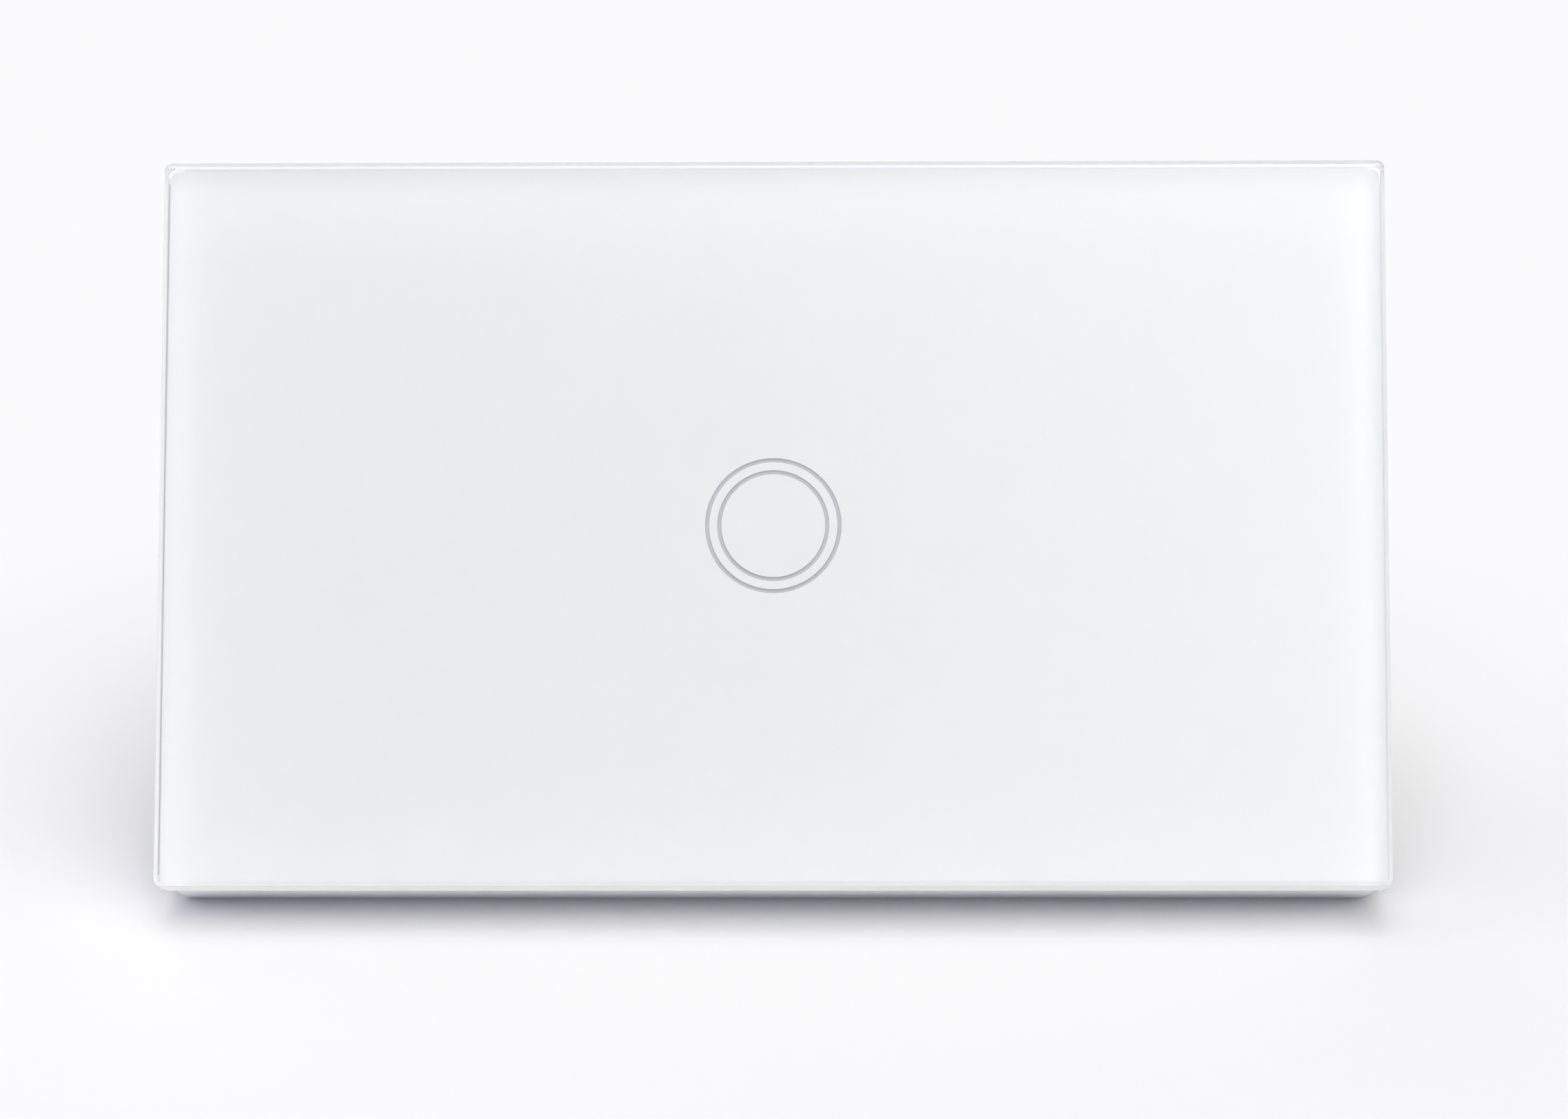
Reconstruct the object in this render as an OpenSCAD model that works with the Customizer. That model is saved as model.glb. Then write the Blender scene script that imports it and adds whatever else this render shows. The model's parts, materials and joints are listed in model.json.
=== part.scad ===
// Touch light switch: a white back-printed glass panel on a clip-on frame, in front of a
// steel strap, a plastic base and a housing that drops into a two-screw wall box.
// The origin is the centre of the wall plane, +Z is up, the glass faces -Y and the housing lies behind.

/* [Glass panel] */
// Width of the glass panel
panel_w = 120; // [114:1:150]
// Height of the glass panel
panel_h = 71.5; // [69:0.5:90]
// Thickness of the glass
glass_t = 5; // [3:0.5:8]
// Radius of the ground corners of the glass
glass_corner_r = 0.9; // [0.8:0.1:3]
// Polished chamfer round the front edge
front_chamfer = 0.6; // [0.2:0.1:0.7]
// Broken edge round the back of the glass
rear_chamfer = 0.2; // [0.1:0.05:0.4]

/* [Back print] */
// Thickness of the ink on the back of the glass
ink_t = 0.1; // [0.05:0.05:0.3]
// How far the ink stops short of the glass edge
ink_inset = 0.25; // [0.2:0.05:1]
// Outside diameter of the inner ring mark
inner_ring_d = 11; // [9:0.2:11.8]
// Outside diameter of the outer ring mark
outer_ring_d = 13.4; // [12.8:0.2:16]
// Line width of both ring marks
ring_line = 0.4; // [0.2:0.05:0.6]

/* [Bond tape] */
// Thickness of the tape between print and frame
tape_t = 0.2; // [0.1:0.05:0.5]
// Width of the tape
tape_w = 5; // [3:0.5:8]
// How far the tape stops short of the frame edge
tape_inset = 1.2; // [0.8:0.1:3]

/* [Panel frame] */
// Depth of the frame from the wall to its front rim
frame_depth = 8.4; // [8:0.1:14]
// Radius of the upright corners of the frame
frame_corner_r = 2.6; // [2.2:0.1:5]
// Radius of the inside corners of the frame
inner_corner_r = 0.6; // [0.4:0.1:1]
// Wall thickness of the frame sides
frame_wall = 2; // [1.4:0.1:2.4]
// Thickness of the web that carries the glass
frame_web = 1.6; // [1:0.1:2.4]
// Broken edge round the rear rim
frame_edge = 0.4; // [0.2:0.1:0.8]
// Width of the window in the web
window_w = 46; // [30:1:50]
// Height of the window in the web
window_h = 36; // [24:1:40]
// Thickness of the stiffening ribs
rib_t = 1.2; // [0.8:0.1:1.6]
// Depth of the ribs behind the web
rib_depth = 2.4; // [1:0.1:2.8]
// Number of ribs on each short side
end_rib_count = 4; // [2:2:6]
// Number of gussets on each long side
gusset_count = 7; // [3:1:9]
// Width of the pry notch in the rear rim
notch_w = 12; // [8:0.5:16]
// Depth of the pry notch
notch_depth = 2; // [1:0.1:3]
// Diameter of the push posts
post_d = 4; // [3.4:0.1:4.6]
// Width of the slit in each post
post_slit = 0.8; // [0.5:0.1:1.2]
// Lead-in at the tip of a post
post_lead = 0.5; // [0.3:0.1:0.8]
// Radial clearance of a post in its socket
post_clear = 0.1; // [0.06:0.01:0.2]
// Wall of the post sockets
socket_wall = 1.4; // [1:0.1:1.8]

/* [Mounting strap] */
// Thickness of the steel strap
strap_t = 1.2; // [0.8:0.1:1.6]
// Length of the strap
strap_len = 104; // [100:1:108]
// Width of the rails above and below the housing
strap_rail = 5.5; // [5.2:0.1:7]
// Width of the strap on each side of the housing
strap_side = 4.1; // [3:0.1:6]
// Height of the two ears
ear_h = 40; // [24:1:46]
// Corner radius of the strap
strap_corner_r = 3; // [1:0.5:5]
// Distance between the two screw slots
slot_spacing = 84; // [82:0.1:86]
// Length of a screw slot, end to end
slot_len = 8; // [6:0.5:9]
// Width of a screw slot
slot_w = 4.2; // [3.6:0.1:5]
// Distance of the strap screws from the middle
strap_screw_x = 12; // [8:0.5:20]

/* [Front cover] */
// Thickness of the cover plate
cover_plate = 2; // [1.6:0.1:2.6]
// Thickness of the cover rim
cover_rim = 1.4; // [1:0.1:2]
// How far the cover reaches past the housing on each side
cover_lap = 1.5; // [1:0.1:2]
// Corner radius of the cover
cover_corner_r = 3; // [2:0.2:4.4]
// Height of the stand-offs under the touch board
standoff_h = 0.5; // [0.3:0.1:1]
// Outside diameter of the stand-offs and screw bosses
boss_d = 5; // [4.4:0.1:5.4]
// Height of the bosses for the strap screws
strap_boss_h = 2; // [1.6:0.1:2.4]
// How far the strap screws reach into those bosses
strap_screw_bite = 1; // [0.6:0.1:1.2]
// Thickness of the legs that hold the power board down
leg_t = 2; // [1.4:0.1:2.4]
// Width of those legs
leg_w = 12; // [8:0.5:14]
// Depth of the locating lip inside the housing
lip_depth = 1.5; // [1:0.1:3]

/* [Touch board] */
// Width of the touch board
touch_w = 44; // [40:0.5:46]
// Height of the touch board
touch_h = 34; // [30:0.5:36]
// Thickness of the touch board
touch_t = 1.2; // [0.8:0.1:1.6]
// Distance of the board screws from the board edge
touch_screw_inset = 3; // [2.6:0.1:4]
// Wall of the ring light guide on each side of the marks
guide_margin = 0.6; // [0.4:0.1:1]
// Wire diameter of the touch spring
spring_wire = 0.5; // [0.4:0.05:0.6]
// Mean diameter of the touch spring
spring_d = 7; // [5:0.2:7.6]
// Turns of the touch spring
spring_turns = 2; // [1:1:2]
// Length of a light-emitting diode
led_l = 2; // [1.6:0.1:2.4]
// Width of a light-emitting diode
led_w = 1.2; // [0.8:0.1:1.4]
// Height of a light-emitting diode
led_h = 0.8; // [0.5:0.1:1.2]
// Step round the lens of a light-emitting diode
led_dome = 0.2; // [0.1:0.05:0.3]
// Number of light-emitting diodes
led_count = 4; // [2:1:6]
// Width of the touch chip
chip_w = 6; // [4:0.2:8]
// Depth of the touch chip
chip_d = 4; // [3:0.2:5]
// Height of the touch chip
chip_h = 1.3; // [0.8:0.1:1.8]
// Leads along each side of the touch chip
chip_leads = 4; // [2:1:6]
// Width of a chip lead
chip_lead_w = 0.5; // [0.3:0.05:0.6]
// Reach of the chip leads past the chip
chip_lead_reach = 0.8; // [0.5:0.1:1]
// Thickness of the chip leads
chip_lead_t = 0.4; // [0.3:0.05:0.5]
// Gap between the touch chip and the board
chip_lift = 0.15; // [0.05:0.05:0.25]
// Distance of the touch chip below the middle
chip_drop = 12; // [11.4:0.2:13]

/* [Board link] */
// Number of link pins
link_pin_count = 6; // [4:1:8]
// Spacing of the link pins
link_spacing = 2; // [1.6:0.1:2.5]
// Side of a square link pin
link_pin = 0.5; // [0.4:0.05:0.7]
// Width of the link strips
link_d = 2.4; // [2:0.1:3]
// Thickness of the pin strip
link_strip_t = 2; // [1.6:0.1:3]
// Distance of the link above the middle
link_z = 11.5; // [11:0.1:12.2]

/* [Power board] */
// Thickness of the power board
power_t = 1.6; // [1:0.1:2]
// Space between the cover and the power board
power_space = 9.2; // [7:0.1:12]
// Gap between the parts on the power board
part_gap = 1.2; // [0.6:0.1:2]
// Gap between the rows of parts
row_gap = 1.5; // [0.8:0.1:3]
// Gap between the board edge and the housing wall
board_clear = 0.4; // [0.2:0.1:0.8]

/* [Relay] */
// Width of the relay
relay_w = 19.2; // [18.6:0.1:24]
// Depth of the relay
relay_d = 15.6; // [14:0.1:18]
// Height of the relay
relay_h = 15.3; // [14.4:0.1:18]
// Wall of the relay case
relay_wall = 0.8; // [0.5:0.1:1]
// Thickness of the relay base
relay_base_t = 1.6; // [1:0.1:2]
// Thickness of the iron yoke and armature
iron_t = 1.2; // [0.8:0.1:1.4]
// Width of the iron yoke and armature
iron_w = 9; // [6:0.2:10]
// Diameter of the coil winding
coil_d = 9; // [8:0.1:9.4]
// Rim of the bobbin past the winding
bobbin_rim = 0.5; // [0.3:0.1:0.6]
// Thickness of the bobbin flanges and tube
bobbin_t = 0.8; // [0.5:0.1:1]
// Diameter of the iron core
core_d = 3.2; // [2.4:0.1:4]
// Diameter of the pole plate on the core
pole_d = 5.1; // [4.2:0.1:6]
// Swing of the armature in degrees
armature_swing = 4; // [2:0.5:5]
// Diameter of the contact buttons
contact_d = 2.4; // [1.8:0.1:2.8]
// Thickness of the contact buttons
contact_t = 0.6; // [0.4:0.1:0.8]
// Thickness of the contact blade
blade_t = 0.5; // [0.3:0.1:0.7]
// Width of the contact blade
blade_w = 4; // [3:0.2:6]

/* [Terminals] */
// Spacing of the terminals
pole_spacing = 10; // [9.6:0.1:12]
// Depth of the terminal block
block_d = 12; // [10.8:0.1:14]
// Wall of the block behind the clamps
block_wall = 2; // [1.4:0.1:2.4]
// Inside width of a clamp cage
cage_in_w = 4.8; // [4.4:0.1:5]
// Wall of a clamp cage
cage_wall = 0.8; // [0.6:0.1:0.9]
// Thickness of the threaded rear wall of a cage
cage_nut_t = 1.2; // [1:0.1:1.6]
// Width of the cage strip
cage_strip = 5; // [4.6:0.1:5.4]
// Open space for a wire in the cage
wire_gap = 3.4; // [3:0.1:4]
// Space left in the cage when it is screwed up
wire_min = 1; // [0.6:0.1:1.4]
// Thickness of the contact bar
bar_t = 0.8; // [0.6:0.1:1.2]
// Width of the contact bar
bar_w = 4; // [3:0.1:4.2]
// Diameter of the terminal screws
screw_d = 3; // [2.6:0.1:3.4]
// Head diameter of the terminal screws
screw_head_d = 5.6; // [5:0.1:6]
// Head height of the terminal screws
screw_head_h = 1.8; // [1.2:0.1:2]
// Edge chamfer of those heads
screw_head_edge = 0.4; // [0.2:0.1:0.6]
// Depth of the driver slots in those heads
slot_depth = 0.9; // [0.5:0.1:1]
// Width of the driver slots
slot_cut = 0.8; // [0.5:0.1:1]
// Diameter of the wire entries
wire_hole_d = 3.8; // [3:0.1:4]

/* [Other electronics] */
// Width of the film capacitor
film_w = 18; // [14:0.2:20]
// Depth of the film capacitor
film_d = 8.5; // [6:0.1:10]
// Height of the film capacitor
film_h = 14.5; // [10:0.1:15]
// Edge radius of the film capacitor
film_edge = 0.5; // [0.3:0.1:1]
// Diameter of the two can capacitors
can_d = 8; // [6:0.1:9]
// Height of the can capacitors
can_h = 12; // [8:0.1:14]
// Crimp and rim of the can capacitors
can_neck = 0.5; // [0.3:0.1:0.8]
// Width of the bridge rectifier
bridge_w = 8.5; // [6:0.1:9]
// Depth of the bridge rectifier
bridge_d = 6.5; // [5:0.1:8]
// Height of the bridge rectifier
bridge_h = 3.3; // [2:0.1:5]
// Thickness of the rectifier pins
bridge_pin = 0.8; // [0.5:0.1:1]
// Spacing of the rectifier pins
bridge_pin_spacing = 4.2; // [3:0.1:5]
// Width of the transformer
trafo_w = 12.5; // [11:0.1:14]
// Depth of the transformer winding
trafo_d = 10; // [7:0.1:11]
// Height of the transformer
trafo_h = 11; // [9:0.1:13]
// Thickness of the ferrite legs
ferrite_t = 2; // [1.5:0.1:2.4]
// Depth of the ferrite core
ferrite_d = 5; // [3:0.1:6]
// Diameter of the fuse
fuse_d = 8.4; // [6:0.1:9]
// Height of the fuse
fuse_h = 7.8; // [6:0.1:10]
// Edge chamfer of the fuse
fuse_edge = 0.7; // [0.3:0.1:1]
// Diameter of the varistor disc
varistor_d = 9; // [7:0.1:10]
// Thickness of the varistor disc
varistor_t = 4.2; // [3:0.1:5]
// Diameter of the varistor leads
lead_d = 0.7; // [0.5:0.1:1]
// Spacing of the varistor leads
lead_spacing = 4.5; // [3:0.1:6]

/* [Housing] */
// Wall of the rear housing
housing_wall = 2.2; // [1.6:0.1:2.6]
// Radius of the upright corners of the housing
housing_corner_r = 3; // [2:0.1:3.4]
// Chamfer round the rear of the housing
housing_chamfer = 1; // [0.5:0.1:1.4]
// Wall round the pilot holes in the corner posts
pilot_wall = 1.6; // [1.2:0.1:2]
// Width of the ledges under the power board
ledge_w = 2; // [1.2:0.1:2.4]
// Depth of those ledges
ledge_depth = 3; // [2:0.1:4]
// Depth of the recessed bay round the terminal screws
bay_depth = 0.6; // [0.3:0.1:0.8]
// Margin of the bay round the screw holes
bay_margin = 1.6; // [1:0.1:2.4]
// Extra diameter at the mouth of a wire entry
entry_flare = 1.4; // [0.6:0.1:2]
// Number of vent slots in the top wall
vent_count = 5; // [3:1:7]
// Width of a vent slot
vent_w = 1.2; // [0.8:0.1:1.6]
// Length of a vent slot
vent_len = 8; // [4:0.5:9]
// Distance of the vent slots behind the wall
vent_y = 12; // [10:0.5:16]
// Spacing of the vent slots
vent_spacing = 5; // [3:0.1:6]

/* [Screws and fits] */
// Diameter of the self-tapping screws
tap_d = 2.4; // [2:0.1:2.6]
// Head diameter of the self-tapping screws
tap_head_d = 4.6; // [4:0.1:4.8]
// Head height of the self-tapping screws
tap_head_h = 1.5; // [1:0.1:1.8]
// Length of the cover screws under the head
cover_screw_len = 10; // [8:0.5:14]
// Diameter of the blunt tips of the self-tapping screws
tip_d = 1.2; // [0.8:0.1:1.4]
// Rounded edge of the pan heads
pan_edge = 0.5; // [0.3:0.1:0.7]
// Depth of the cross recesses
recess_depth = 0.7; // [0.4:0.1:0.8]
// Metal left round a driver recess
recess_rim = 0.8; // [0.6:0.1:1]
// Diameter of the board screws
board_screw_d = 2; // [1.6:0.1:2.2]
// Head diameter of the board screws
board_screw_head_d = 3.8; // [3.2:0.1:4]
// Head height of the board screws
board_screw_head_h = 1.2; // [0.8:0.1:1.4]
// Clearance round fixed parts
fit = 0.2; // [0.1:0.05:0.3]
// Clearance round moving parts
run = 0.3; // [0.2:0.05:0.4]

/* [Hidden] */
$fn = 48;

// Small offset that carries a cut past the face it opens
eps = 0.05;
SIDES = [-1, 1];
POLES = [-1, 0, 1];

// Depths from the wall to the glass front
frame_front = -frame_depth;
web_rear = frame_front + frame_web;
ink_rear = frame_front - tape_t;
ink_front = ink_rear - ink_t;
glass_front = ink_front - glass_t;

// Depths of the base in front of the wall
strap_front = -strap_t;
plate_front = strap_front - cover_plate;
cover_front = web_rear + run;
touch_rear = plate_front - standoff_h;
touch_front = touch_rear - touch_t;
probe_front = ink_rear + run;

// Depths of the boards and the housing behind the wall
strip_rear = touch_rear + link_strip_t;
board_screw_len = touch_t + standoff_h + cover_plate / 2;
power_front = strap_front + power_space;
power_rear = power_front + power_t;
housing_in_y = power_rear + max(relay_h, film_h, can_h, trafo_h, fuse_h) + fit;
housing_rear = housing_in_y + housing_wall;

// Rows of parts on the power board
top_row_d = max(relay_d, film_d, bridge_d);
mid_row_d = max(trafo_d, can_d, fuse_d, varistor_t);
top_row_w = relay_w + film_w + bridge_w + 2 * part_gap;
mid_row_w = varistor_d + trafo_w + 2 * can_d + fuse_d + 4 * part_gap;
block_w = len(POLES) * pole_spacing + block_wall;

// Corner posts of the housing, with the pilot holes of the cover screws
pilot_r = pilot_wall + tap_d / 2;
post_reach = 2 * pilot_r;
board_notch = post_reach + fit;

// Power board and housing plan
power_w = max(top_row_w, mid_row_w, block_w) + 2 * (board_notch + part_gap);
power_h = block_d + mid_row_d + top_row_d + 3 * row_gap;
housing_in_w = power_w + 2 * board_clear;
housing_in_h = power_h + 2 * board_clear;
housing_w = housing_in_w + 2 * housing_wall;
housing_h = housing_in_h + 2 * housing_wall;
cover_screw_x = housing_in_w / 2 - pilot_r;
cover_screw_z = housing_in_h / 2 - pilot_r;

// Strap and cover plan
strap_window_w = housing_w + 2 * run;
strap_window_h = housing_h + 2 * run;
strap_h = strap_window_h + 2 * strap_rail;
strap_screw_z = (strap_window_h + strap_rail) / 2;
cover_w = housing_w + 2 * cover_lap;
cover_h = strap_h;
socket_d = post_d + 2 * post_clear + 2 * socket_wall;
socket_x = (cover_w - socket_d) / 2;
socket_z = (cover_h - socket_d) / 2;
post_end = strap_front - run;

// Places on the power board
block_z = (block_d - power_h) / 2;
mid_row_z = -power_h / 2 + block_d + row_gap + mid_row_d / 2;
top_row_z = mid_row_z + mid_row_d / 2 + row_gap + top_row_d / 2;
relay_x = (relay_w - top_row_w) / 2;
film_x = relay_x + (relay_w + film_w) / 2 + part_gap;
bridge_x = film_x + (film_w + bridge_w) / 2 + part_gap;
varistor_x = (varistor_d - mid_row_w) / 2;
trafo_x = varistor_x + (varistor_d + trafo_w) / 2 + part_gap;
can_x = trafo_x + (trafo_w + can_d) / 2 + part_gap;
can_step = can_d + part_gap;
fuse_x = can_x + can_step + (can_d + fuse_d) / 2 + part_gap;

// Terminal clamp, from the board to the screw head
cage_front = power_rear + run;
cage_z = block_z;
bar_front = cage_front + cage_wall + wire_gap;
bar_rear = bar_front + bar_t;
nut_front = bar_rear + run;
cage_rear = nut_front + cage_nut_t;
cage_travel = wire_gap - wire_min;
cage_w = cage_in_w + 2 * cage_wall;
pocket_w = cage_w + 2 * run;
pocket_d = cage_strip + 2 * run;
pocket_rear = cage_rear + cage_travel + run;
block_rear = housing_in_y - fit;
wire_y = cage_front + cage_wall + wire_gap / 2;

// Relay, measured from the power board
relay_in_w = relay_w - 2 * relay_wall - 2 * fit;
relay_in_d = relay_d - 2 * relay_wall - 2 * fit;
base_rear = power_rear + relay_base_t;
yoke_x = relay_x - relay_in_w / 2 + fit + iron_t / 2;
bobbin_d = coil_d + 2 * bobbin_rim;
coil_x = yoke_x + iron_t / 2 + fit + bobbin_d / 2;
contact_x = relay_x + relay_in_w / 2 - contact_d / 2 - blade_t - 2 * fit;
armature_rear = power_rear + relay_h - relay_wall - run;
armature_front = armature_rear - iron_t;
hinge_y = (armature_front + armature_rear) / 2;
drop_at_core = (coil_x - yoke_x + core_d) * sin(armature_swing) + eps;
drop_at_contact = (contact_x - yoke_x + contact_d) * sin(armature_swing) + eps;
core_rear = armature_front - drop_at_core;
bobbin_front = base_rear + iron_t;
bobbin_rear = core_rear - bobbin_t;
fixed_rear = armature_front - contact_t - drop_at_contact;
blade_rear = fixed_rear - contact_t;

// Touch sensor in the middle of the touch board
guide_in_d = inner_ring_d - 2 * ring_line - 2 * guide_margin;
guide_out_d = outer_ring_d + 2 * guide_margin;
led_r = (guide_in_d + guide_out_d) / 4;
spring_h = touch_front - probe_front;
spring_rise = spring_h - 2 * spring_wire;

echo(terminal_screw_turn_mm = cage_travel, relay_hinge = [yoke_x, hinge_y, top_row_z]);
echo(housing = [housing_w, housing_h, housing_rear], screw_places = [cover_screw_x, cover_screw_z]);

// Plan outline in x and z with round corners
module rounded_plan(w, h, r) {
    square([w - 2 * r, h], center = true);
    square([w, h - 2 * r], center = true);
    for (sx = SIDES, sz = SIDES)
        translate([sx * (w / 2 - r), sz * (h / 2 - r)]) circle(r);
}

// Extrudes a plan drawn in x and z between two depths along y
module slab(from, to) {
    translate([0, to, 0]) rotate([90, 0, 0]) linear_extrude(to - from) children();
}

// Round bar along y
module rod(d, from, to) {
    slab(from, to) circle(d = d);
}

// Block along y with a rectangular plan
module bar(w, h, from, to) {
    slab(from, to) square([w, h], center = true);
}

// Turned shape about a y axis, from points of radius and depth
module turned(points) {
    rotate([-90, 0, 0]) rotate_extrude() polygon(points);
}

// Puts children at a place in x and z
module at(x, z) {
    translate([x, 0, z]) children();
}

// Puts children at the four corners of a plan
module at_corners(x, z) {
    for (sx = SIDES, sz = SIDES) at(sx * x, sz * z) children();
}

// Block with round upright corners, whose edge follows a list of inset and depth
module edged_block(w, h, r, edge) {
    last = len(edge) - 1;
    back = [for (i = [last:-1:0]) edge[i]];
    rotate([90, 0, 90]) linear_extrude(w - 2 * r, center = true)
        polygon([for (p = edge) [p[1], h / 2 - p[0]], for (p = back) [p[1], p[0] - h / 2]]);
    linear_extrude(h - 2 * r, center = true)
        polygon([for (p = edge) [w / 2 - p[0], p[1]], for (p = back) [p[0] - w / 2, p[1]]]);
    at_corners(w / 2 - r, h / 2 - r)
        turned([[0, edge[0][1]], for (p = edge) [r - p[0], p[1]], [0, edge[last][1]]]);
}

// Cross-shaped cutter for the driver recess of a screw head
module cross_recess(head_d, from, to) {
    for (turn = [0, 90]) rotate([0, turn, 0]) bar(head_d - 2 * recess_rim, slot_cut, from, to);
}

// Pan-head screw along y with its head towards the front and a cross recess
module pan_screw(d, head_d, head_h, seat, len) {
    top = seat - head_h;
    end = seat + len;
    difference() {
        turned([[0, top], [head_d / 2 - pan_edge, top], [head_d / 2, top + pan_edge], [head_d / 2, seat],
            [d / 2, seat], [d / 2, end - (d - tip_d) / 2], [tip_d / 2, end], [0, end]]);
        cross_recess(head_d, top - eps, top + recess_depth);
    }
}

// Two thin rings, each one line wide
module ring_plan() {
    for (d = [inner_ring_d, outer_ring_d]) difference() {
        circle(d = d);
        circle(d = d - 2 * ring_line);
    }
}

module glass_panel() {
    color("aliceblue", 0.5)
        edged_block(panel_w, panel_h, glass_corner_r, [
            [front_chamfer, glass_front], [0, glass_front + front_chamfer],
            [0, ink_front - rear_chamfer], [rear_chamfer, ink_front]]);
}

module white_print() {
    color("white") slab(ink_front, ink_rear) difference() {
        rounded_plan(panel_w - 2 * ink_inset, panel_h - 2 * ink_inset, glass_corner_r);
        ring_plan();
    }
}

module ring_marks() {
    color("silver") slab(ink_front, ink_rear) ring_plan();
}

module bond_tape() {
    out_w = panel_w - 2 * tape_inset;
    out_h = panel_h - 2 * tape_inset;
    color("gainsboro") slab(ink_rear, frame_front) difference() {
        rounded_plan(out_w, out_h, frame_corner_r);
        square([out_w - 2 * tape_w, out_h - 2 * tape_w], center = true);
    }
}

// Slit push post that plugs into a socket of the cover
module push_post() {
    difference() {
        turned([[0, web_rear - eps], [post_d / 2, web_rear - eps], [post_d / 2, post_end - post_lead],
            [post_d / 2 - post_lead, post_end], [0, post_end]]);
        bar(post_d + 2 * eps, post_slit, web_rear + post_d / 2, post_end + eps);
    }
}

// Places of evenly spread copies along a length, clear of its ends
function spread(count, length) = [for (i = [1:count]) length * (i / (count + 1) - 1 / 2)];

module panel_frame() {
    in_w = panel_w - 2 * frame_wall;
    in_h = panel_h - 2 * frame_wall;
    end_rib_from = cover_w / 2 + 2 * run;
    end_rib_len = in_w / 2 - end_rib_from + eps;
    gusset_from = cover_h / 2 + run;
    gusset_len = in_h / 2 - gusset_from + eps;
    color("white") difference() {
        union() {
            difference() {
                edged_block(panel_w, panel_h, frame_corner_r,
                    [[0, frame_front], [0, -frame_edge], [frame_edge, 0]]);
                slab(web_rear, eps) rounded_plan(in_w, in_h, inner_corner_r);
                slab(frame_front - eps, web_rear + eps) rounded_plan(window_w, window_h, frame_corner_r);
            }
            for (s = SIDES, z = spread(end_rib_count, in_h))
                at(s * (end_rib_from + end_rib_len / 2), z)
                    bar(end_rib_len, rib_t, web_rear - eps, web_rear + rib_depth);
            for (s = SIDES, x = spread(gusset_count, in_w))
                at(x, s * (gusset_from + gusset_len / 2))
                    bar(rib_t, gusset_len, web_rear - eps, web_rear + rib_depth);
            at_corners(socket_x, socket_z) push_post();
        }
        at(panel_w / 2, 0) bar(2 * (frame_wall + eps), notch_w, -notch_depth, eps);
    }
}

// Plan of the strap's two screw slots
module slot_plan() {
    reach = (slot_len - slot_w) / 2;
    for (s = SIDES) translate([s * slot_spacing / 2, 0]) {
        square([2 * reach, slot_w], center = true);
        for (e = SIDES) translate([e * reach, 0]) circle(d = slot_w);
    }
}

module mounting_strap() {
    hole_r = tap_d / 2 + fit;
    head_r = tap_head_d / 2 + fit;
    color("lightsteelblue") difference() {
        slab(strap_front, 0) difference() {
            union() {
                rounded_plan(strap_window_w + 2 * strap_side, strap_h, strap_corner_r);
                rounded_plan(strap_len, ear_h, strap_corner_r);
            }
            rounded_plan(strap_window_w, strap_window_h, housing_corner_r);
            slot_plan();
        }
        at_corners(strap_screw_x, strap_screw_z)
            turned([[0, strap_front - eps], [hole_r, strap_front - eps], [hole_r, strap_front + fit],
                [head_r, -fit], [head_r, eps], [0, eps]]);
    }
}

// Countersunk screws that hold the strap to the cover, heads towards the wall
module strap_screws() {
    head_r = tap_head_d / 2;
    head_rear = -fit / 2;
    tip = plate_front - strap_screw_bite;
    color("silver") at_corners(strap_screw_x, strap_screw_z) difference() {
        turned([[0, tip], [tip_d / 2, tip], [tap_d / 2, tip + (tap_d - tip_d) / 2],
            [tap_d / 2, strap_front + fit], [head_r, -fit], [head_r, head_rear], [0, head_rear]]);
        cross_recess(tap_head_d, head_rear - recess_depth, eps);
    }
}

// Plan of the slot through which the board link passes
module link_plan(grow) {
    square([link_pin_count * link_spacing + 2 * grow, link_d + 2 * grow], center = true);
}

module front_cover() {
    leg_x = housing_in_w / 2 - 2 * fit - leg_t / 2;
    lip_w = housing_in_w - 2 * fit;
    lip_h = housing_in_h - 2 * fit;
    lip_t = cover_rim;
    color("whitesmoke") difference() {
        union() {
            slab(plate_front, strap_front) rounded_plan(cover_w, cover_h, cover_corner_r);
            slab(cover_front, plate_front + eps) difference() {
                rounded_plan(cover_w, cover_h, cover_corner_r);
                rounded_plan(cover_w - 2 * cover_rim, cover_h - 2 * cover_rim, cover_corner_r - cover_rim);
            }
            at_corners(socket_x, socket_z) rod(socket_d, cover_front, plate_front + eps);
            at_corners(touch_w / 2 - touch_screw_inset, touch_h / 2 - touch_screw_inset)
                rod(boss_d, touch_rear, plate_front + eps);
            at_corners(strap_screw_x, strap_screw_z)
                rod(boss_d, plate_front - strap_boss_h, plate_front + eps);
            slab(strap_front - eps, strap_front + lip_depth) difference() {
                square([lip_w - 2 * board_notch, lip_h], center = true);
                square([lip_w, lip_h - 2 * lip_t], center = true);
            }
            for (s = SIDES) at(s * leg_x, 0) bar(leg_t, leg_w, strap_front - eps, power_front);
        }
        at_corners(socket_x, socket_z) rod(post_d + 2 * post_clear, cover_front - eps, strap_front + eps);
        at_corners(touch_w / 2 - touch_screw_inset, touch_h / 2 - touch_screw_inset)
            rod(board_screw_d, touch_rear - eps, touch_front + board_screw_len);
        at_corners(strap_screw_x, strap_screw_z)
            rod(tap_d, plate_front - strap_screw_bite, strap_front + eps);
        at_corners(cover_screw_x, cover_screw_z) rod(tap_d + 2 * fit, plate_front - eps, strap_front + eps);
        at(0, link_z) slab(plate_front - eps, strap_front + eps) link_plan(fit);
    }
}

module cover_screws() {
    color("silver") at_corners(cover_screw_x, cover_screw_z)
        pan_screw(tap_d, tap_head_d, tap_head_h, plate_front, cover_screw_len);
}

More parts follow.
